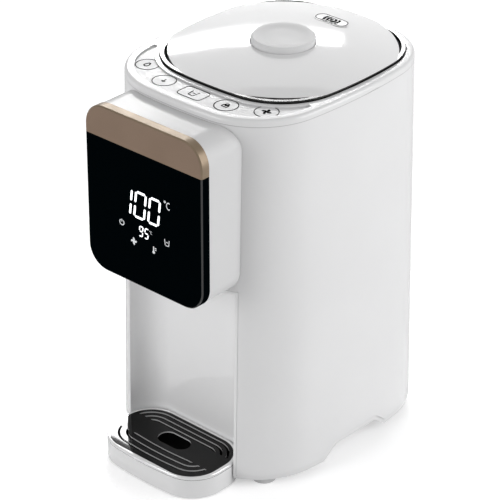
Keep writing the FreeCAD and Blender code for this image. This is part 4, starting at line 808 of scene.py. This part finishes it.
def frame_line(x, y, width, height, corner, line):
    """A rounded rectangle drawn as a line."""
    bpy.ops.object.select_all(action="DESELECT")
    bpy.ops.mesh.primitive_plane_add(size=1)
    piece = bpy.context.object
    piece.data.transform(Matrix.Diagonal((width, height, 1, 1)))
    edit(piece)
    bpy.ops.mesh.bevel(offset=corner, affect="VERTICES", segments=8)
    bpy.ops.mesh.select_all(action="SELECT")
    bpy.ops.mesh.inset(thickness=line)
    bpy.ops.mesh.delete(type="FACE")
    done()
    thicken(piece)
    return moved(piece, x, y)


def joined(pieces, name, material):
    """Make one object of several shapes and give it a finish."""
    bpy.ops.object.select_all(action="DESELECT")
    for piece in pieces:
        piece.select_set(True)
    bpy.context.view_layer.objects.active = pieces[0]
    bpy.ops.object.join()
    whole = bpy.context.object
    whole.name = name
    whole.data.materials.clear()
    whole.data.materials.append(material)
    return whole


print("mark builders ready")

# %% [markdown]
# The numerals are seven-segment ones that lean a little to the right. One function lays the bars of
# a digit by the letters of its segments, and another leans the finished mesh.

# %% Seven-segment digits
SEGMENTS = {"0": "abcdef", "1": "bc", "5": "afgcd", "9": "abcdfg"}
SLANT = 0.12


def digit(sign, left, low, width, height, thick):
    """The bars of one digit inside a box, before the slant."""
    half = height / 2
    across = width - 1.15 * thick
    upright = half - 0.75 * thick
    middle = left + width / 2
    near, far = left + thick / 2, left + width - thick / 2
    quarter_turn = math.pi / 2
    places = {
        "a": (middle, low + height - thick / 2, across, 0),
        "g": (middle, low + half, across, 0),
        "d": (middle, low + thick / 2, across, 0),
        "f": (near, low + half * 1.5, upright, quarter_turn),
        "b": (far, low + half * 1.5, upright, quarter_turn),
        "e": (near, low + half * 0.5, upright, quarter_turn),
        "c": (far, low + half * 0.5, upright, quarter_turn),
    }
    return [bar(x, y, length * 0.9, thick, turn) for x, y, length, turn in
            (places[letter] for letter in SEGMENTS[sign])]


def slanted(piece, low):
    """Lean a mesh to the right about a base line."""
    for corner in piece.data.vertices:
        corner.co.x += SLANT * (corner.co.y - low)
    return piece


def onto_glass(piece):
    """Stand a flat mark up against the front of the glass."""
    upright = Matrix.Rotation(math.pi / 2, 4, "X")
    piece.data.transform(Matrix.Translation((0, GLASS_FRONT - RISE, 0)) @ upright)
    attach(piece, "pot_body")
    return piece


glow = lit_white()
dim_glow = lit_dim()

big_low = HEAD_BOTTOM + 61.0 * MM
big_width = 12.7 * MM
big_height = 24.4 * MM
big_thick = 2.1 * MM
bars = digit("1", -26.6 * MM, big_low, big_width, big_height, big_thick)
bars += digit("0", -11.4 * MM, big_low, big_width, big_height, big_thick)
bars += digit("0", 3.8 * MM, big_low, big_width, big_height, big_thick)
large_numerals = onto_glass(slanted(joined(bars, "large_numerals", glow), big_low))

small_low = HEAD_BOTTOM + 45.8 * MM
small_width = 4.6 * MM
small_height = 9.8 * MM
small_thick = 1.05 * MM
bars = digit("9", -5.9 * MM, small_low, small_width, small_height, small_thick)
bars += digit("5", 0.0 * MM, small_low, small_width, small_height, small_thick)
small_numerals = onto_glass(slanted(joined(bars, "small_numerals", glow), small_low))
print("numerals:", len(large_numerals.data.polygons) + len(small_numerals.data.polygons), "faces")

# %% [markdown]
# Round the numerals glow two degree signs and four generic symbols: a power sign, a fan, a
# thermometer and a cup. They are built from the same bars, hoops and discs, and are dimmer than the
# numerals.

# %% Lit symbols


def cup_sign(x, y, size):
    side = size * 0.40
    line = size * 0.11
    return [bar(x, y - size / 2, size * 0.62, line), bar(x - side, y, size, line, math.pi / 2 + 0.12),
            bar(x + side, y, size, line, math.pi / 2 - 0.12), bar(x, y + size * 0.05, size * 0.45, line)]


def power_sign(x, y, radius):
    line = radius * 0.28
    ring = hoop(x, y, radius, line, radius * 0.72)
    return [ring, bar(x, y + radius * 0.62, radius * 0.95, line, math.pi / 2)]


def fan_sign(x, y, radius):
    blades = []
    for quarter in range(4):
        angle = quarter * math.pi / 2
        away = Vector((math.cos(angle), math.sin(angle))) * radius * 0.55
        blades.append(bar(x + away.x, y + away.y, radius * 0.9, radius * 0.5, angle + 0.5))
    return blades + [disc(x, y, radius * 0.22)]


def thermometer_sign(x, y, size):
    line = size * 0.16
    return [disc(x, y - size * 0.32, size * 0.2), bar(x, y + size * 0.1, size * 0.75, line, math.pi / 2),
            bar(x + size * 0.32, y + size * 0.28, size * 0.28, line * 0.7),
            bar(x + size * 0.32, y + size * 0.05, size * 0.28, line * 0.7)]


def degree_sign(x, y, size):
    line = size * 0.13
    letter = hoop(0, 0, size / 2, line)
    edit(letter)
    bpy.ops.mesh.bisect(plane_co=(size * 0.2, 0, 0), plane_no=(1, 0, 0), clear_outer=True, use_fill=True)
    done()
    letter.data.transform(Matrix.Diagonal((0.78, 1, 1, 1)))
    return [hoop(x - size * 0.62, y + size * 0.42, size * 0.16, line * 0.8), moved(letter, x, y)]


symbols = degree_sign(27.4 * MM, HEAD_BOTTOM + 83.6 * MM, 6.6 * MM)
symbols += power_sign(-24.1 * MM, HEAD_BOTTOM + 51.4 * MM, 2.7 * MM)
symbols += fan_sign(-11.2 * MM, HEAD_BOTTOM + 39.1 * MM, 3.4 * MM)
symbols += thermometer_sign(10.4 * MM, HEAD_BOTTOM + 39.3 * MM, 6.6 * MM)
symbols += cup_sign(25.0 * MM, HEAD_BOTTOM + 50.9 * MM, 5.4 * MM)
symbols += degree_sign(8.3 * MM, HEAD_BOTTOM + 53.3 * MM, 2.6 * MM)
lit_symbols = onto_glass(joined(symbols, "lit_symbols", dim_glow))
print("symbols:", len(lit_symbols.data.polygons), "faces")

# %% [markdown]
# The touch keys are only printed: a thin dark line round each place, with a small generic sign in
# it: a drop, an arrow, a cup, a lock and a fan. Four keys are round and the middle one is a frame.

# %% Printed keys
KEY_LINE = 0.7 * MM
KEY_RADIUS = 10 * MM
INNER_X = 33.1 * MM
INNER_Y = BODY_Y - 89.5 * MM
OUTER_X = 63.6 * MM
OUTER_Y = BODY_Y - 77 * MM
MIDDLE_Y = BODY_Y - 91 * MM
MIDDLE_WIDTH = 25 * MM
MIDDLE_DEPTH = 17 * MM
MIDDLE_CORNER = 4.5 * MM


def lock_sign(x, y, size):
    line = size * 0.13
    return [frame_line(x, y - size * 0.15, size * 0.8, size * 0.6, size * 0.1, line),
            hoop(x, y + size * 0.15, size * 0.28, line),
            bar(x, y - size * 0.15, size * 0.2, line, math.pi / 2)]


def drop_sign(x, y, size):
    line = size * 0.13
    return [hoop(x, y - size * 0.15, size * 0.3, line, size * 0.1),
            bar(x - size * 0.14, y + size * 0.2, size * 0.48, line, math.radians(63)),
            bar(x + size * 0.14, y + size * 0.2, size * 0.48, line, math.radians(117))]


def down_sign(x, y, size):
    line = size * 0.14
    return [bar(x, y + size * 0.05, size * 0.7, line, math.pi / 2),
            bar(x - size * 0.14, y - size * 0.24, size * 0.42, line, math.radians(-45)),
            bar(x + size * 0.14, y - size * 0.24, size * 0.42, line, math.radians(45))]


key_lines = [hoop(side * INNER_X, INNER_Y, KEY_RADIUS, KEY_LINE) for side in (-1, 1)]
key_lines += [hoop(side * OUTER_X, OUTER_Y, KEY_RADIUS, KEY_LINE) for side in (-1, 1)]
key_lines.append(frame_line(0, MIDDLE_Y, MIDDLE_WIDTH, MIDDLE_DEPTH, MIDDLE_CORNER, KEY_LINE))
key_lines += cup_sign(0, MIDDLE_Y, 7.5 * MM)
key_lines += down_sign(-INNER_X, INNER_Y, 6.5 * MM)
key_lines += lock_sign(INNER_X, INNER_Y, 7.5 * MM)
key_lines += drop_sign(-OUTER_X, OUTER_Y, 8.5 * MM)
key_lines += fan_sign(OUTER_X, OUTER_Y, 4.6 * MM)
printed_keys = joined(key_lines, "printed_keys", print_dark())
printed_keys.data.transform(Matrix.Translation((0, 0, PANEL_TOP + RISE)))
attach(printed_keys, "pot_body")
print("keys:", len(printed_keys.data.polygons), "faces")

# %% [markdown]
# On the dome, two faint locks and two pointer lines show where the knob opens and shuts. They are
# drawn flat and then every corner is dropped onto the dome, which is part of a very large ball.

# %% Printed lid marks


def onto_dome(piece):
    """Drop a flat mark onto the lid's dome."""
    for corner in piece.data.vertices:
        out = Vector((corner.co.x, corner.co.y - LID_MIDDLE_Y)).length
        drop = DOME_RADIUS - math.sqrt(DOME_RADIUS ** 2 - out ** 2)
        corner.co.z += LID_CROWN - drop + RISE
    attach(piece, "lid")
    return piece


def pointer(x0, y0, x1, y1):
    """A thin line between two places, in millimetres from the middle of the shell."""
    start = Vector((x0, y0)) * MM
    end = Vector((x1, y1)) * MM
    middle = (start + end) / 2
    run = end - start
    return bar(middle.x, BODY_Y + middle.y, run.length, 0.3 * MM, math.atan2(run.y, run.x))


marks = lock_sign(39.6 * MM, BODY_Y + 19.4 * MM, 4.6 * MM)
marks += lock_sign(44.7 * MM, BODY_Y + 4.9 * MM, 4.6 * MM)
marks += [pointer(28.3, 25.8, 36.0, 22.6), pointer(29.5, 8.0, 37.3, 6.6)]
lid_marks = onto_dome(joined(marks, "lid_marks", print_pale()))
print("lid marks:", len(lid_marks.data.polygons), "faces")

# %% [markdown]
# The steam vent is a small oval badge with two curved slots each side of a round hole. Seen from above
# they read as black because shade fills them, so a dark curved stroke of painted shade lies over each
# slot and a dot of painted shade over the hole, and a fine dark line runs round the badge.

# %% Painted shade on the vent's slots, and the line round its badge
VENT_Y = BODY_Y + 73.6 * MM
STROKE_RADII = (4.8 * MM, 8.0 * MM)
STROKE_WIDTH = 2.0 * MM
STROKE_REACH = 3.4 * MM
DOT_RADIUS = 1.5 * MM
BADGE_LENGTH = 31.5 * MM
BADGE_WIDTH = 11.7 * MM
BADGE_CORNER = 5.544 * MM
BADGE_LINE = 0.6 * MM


def slot_shade_stroke(side, radius):
    """A curved stroke of painted shade: one side of a hoop, kept between two heights."""
    stroke = hoop(0, 0, radius, STROKE_WIDTH)
    edit(stroke)
    cuts = (((0, STROKE_REACH, 0), (0, 1, 0)), ((0, -STROKE_REACH, 0), (0, -1, 0)),
            ((0, 0, 0), (-side, 0, 0)))
    for point, way in cuts:
        bpy.ops.mesh.select_all(action="SELECT")
        bpy.ops.mesh.bisect(plane_co=point, plane_no=way, clear_outer=True, use_fill=True)
    done()
    return moved(stroke, 0, VENT_Y)


strokes = [disc(0, VENT_Y, DOT_RADIUS)]
strokes += [slot_shade_stroke(side, radius) for side in (-1, 1) for radius in STROKE_RADII]
strokes.append(frame_line(0, VENT_Y, BADGE_LENGTH, BADGE_WIDTH, BADGE_CORNER, BADGE_LINE))
vent_shade_and_outline = joined(strokes, "vent_shade_and_outline", shade_and_joint_dark())
vent_shade_and_outline.data.transform(Matrix.Translation((0, 0, VENT_TOP + RISE)))
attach(vent_shade_and_outline, "lid")
print("vent rims:", len(vent_shade_and_outline.data.polygons), "faces")

# %% [markdown]
# The photograph was taken with a long lens from the front right and above. The camera's place was
# worked out from the pot's edges, and it aims at a point near the middle of the body.

# %% Camera
EYE = Vector((1.21045, -1.34046, 1.16924))
AIM = Vector((-0.02341, 0.0195, 0.14546))
ROLL = math.radians(0.14)
camera_data = bpy.data.cameras.new("camera")
camera = bpy.data.objects.new("camera", camera_data)
bpy.context.scene.collection.objects.link(camera)
camera_data.lens = 180
camera_data.sensor_width = 36
camera_data.shift_x = 0.0033
camera_data.shift_y = -0.0006
camera.location = EYE
camera.rotation_mode = "QUATERNION"
camera.rotation_quaternion = (AIM - EYE).to_track_quat("-Z", "Y") @ Quaternion((0, 0, 1), ROLL)
bpy.context.scene.camera = camera
print("camera at", [round(value, 2) for value in EYE])

# %% [markdown]
# The pot stands on a white floor that runs out into a white world. The floor answers the camera a
# little more brightly than it lights the pot, so it reads as white and still keeps the soft shadow.

# %% Floor and world
FLOOR_SIZE = 8
FLOOR_GLOW = 0.42
AMBIENT = 0.44


def studio_floor():
    bpy.ops.object.select_all(action="DESELECT")
    bpy.ops.mesh.primitive_plane_add(size=FLOOR_SIZE, location=(0, 0, 0))
    floor = bpy.context.object
    floor.name = "studio_floor"
    edit(floor)
    bpy.ops.mesh.subdivide(number_cuts=3)
    done()
    material = plain("floor_white", grey(0.80), 0.7)
    nodes = material.node_tree.nodes
    links = material.node_tree.links
    shader_of(material).inputs["Specular IOR Level"].default_value = 0.1
    seen = nodes.new("ShaderNodeLightPath")
    glow_of_floor = nodes.new("ShaderNodeEmission")
    glow_of_floor.inputs["Strength"].default_value = FLOOR_GLOW
    nothing = nodes.new("ShaderNodeEmission")
    nothing.inputs["Strength"].default_value = 0.0
    choose = nodes.new("ShaderNodeMixShader")
    add = nodes.new("ShaderNodeAddShader")
    links.new(seen.outputs["Is Camera Ray"], choose.inputs["Fac"])
    links.new(nothing.outputs["Emission"], choose.inputs[1])
    links.new(glow_of_floor.outputs["Emission"], choose.inputs[2])
    links.new(shader_of(material).outputs["BSDF"], add.inputs[0])
    links.new(choose.outputs["Shader"], add.inputs[1])
    links.new(add.outputs["Shader"], nodes["Material Output"].inputs["Surface"])
    floor.data.materials.append(material)


def white_world(ambient):
    world = bpy.data.worlds.new("studio")
    bpy.context.scene.world = world
    world.use_nodes = True
    nodes = world.node_tree.nodes
    links = world.node_tree.links
    background = nodes["Background"]
    background.inputs["Color"].default_value = (1, 1, 1, 1)
    background.inputs["Strength"].default_value = ambient
    bright = nodes.new("ShaderNodeBackground")
    bright.inputs["Color"].default_value = (1, 1, 1, 1)
    bright.inputs["Strength"].default_value = 1.0
    seen = nodes.new("ShaderNodeLightPath")
    choose = nodes.new("ShaderNodeMixShader")
    links.new(seen.outputs["Is Camera Ray"], choose.inputs["Fac"])
    links.new(background.outputs["Background"], choose.inputs[1])
    links.new(bright.outputs["Background"], choose.inputs[2])
    links.new(choose.outputs["Shader"], nodes["World Output"].inputs["Surface"])


studio_floor()
white_world(AMBIENT)
bpy.context.scene.view_settings.view_transform = "Standard"
print("floor and world ready")

# %% [markdown]
# Four soft boxes shape the white pot. One stands behind the right side and one in front, a little
# to the left, so the corner that faces the camera stays greyer than the walls beside it. The two at
# the back are there to be mirrored: the wide one in the lid, the small one in the drip plate. The
# small one has a narrow beam, so it lights little else.

# %% Lamps


def soft_box(name, place, aim, width, height, watts):
    lamp_data = bpy.data.lights.new(name, "AREA")
    lamp_data.shape = "RECTANGLE"
    lamp_data.size = width
    lamp_data.size_y = height
    lamp_data.energy = watts
    lamp = bpy.data.objects.new(name, lamp_data)
    bpy.context.scene.collection.objects.link(lamp)
    lamp.location = place
    lamp.rotation_mode = "QUATERNION"
    lamp.rotation_quaternion = (Vector(aim) - Vector(place)).to_track_quat("-Z", "Y")
    lamp.visible_camera = False
    return lamp


POT_MIDDLE = (0, 0.0195, 0.17)
LID_MIDDLE = (0, 0.05, 0.34)
PLATE_MIDDLE = (0, -0.11, 0.02)
NARROW_BEAM = 0.4
soft_box("right_box", (1.60, 0.85, 0.75), POT_MIDDLE, 1.2, 1.4, 19)
soft_box("front_box", (-0.55, -1.70, 0.60), POT_MIDDLE, 1.0, 1.0, 11.5)
soft_box("back_box", (-1.06, 1.20, 0.99), LID_MIDDLE, 1.35, 1.13, 8.0)
plate_box = soft_box("plate_box", (-1.02, 0.98, 0.86), PLATE_MIDDLE, 0.62, 0.26, 0.35)
plate_box.data.spread = NARROW_BEAM
print("lamps: 4")

# %% [markdown]
# At the end the script says that the scene is ready.

# %% Finish
print("scene ready")
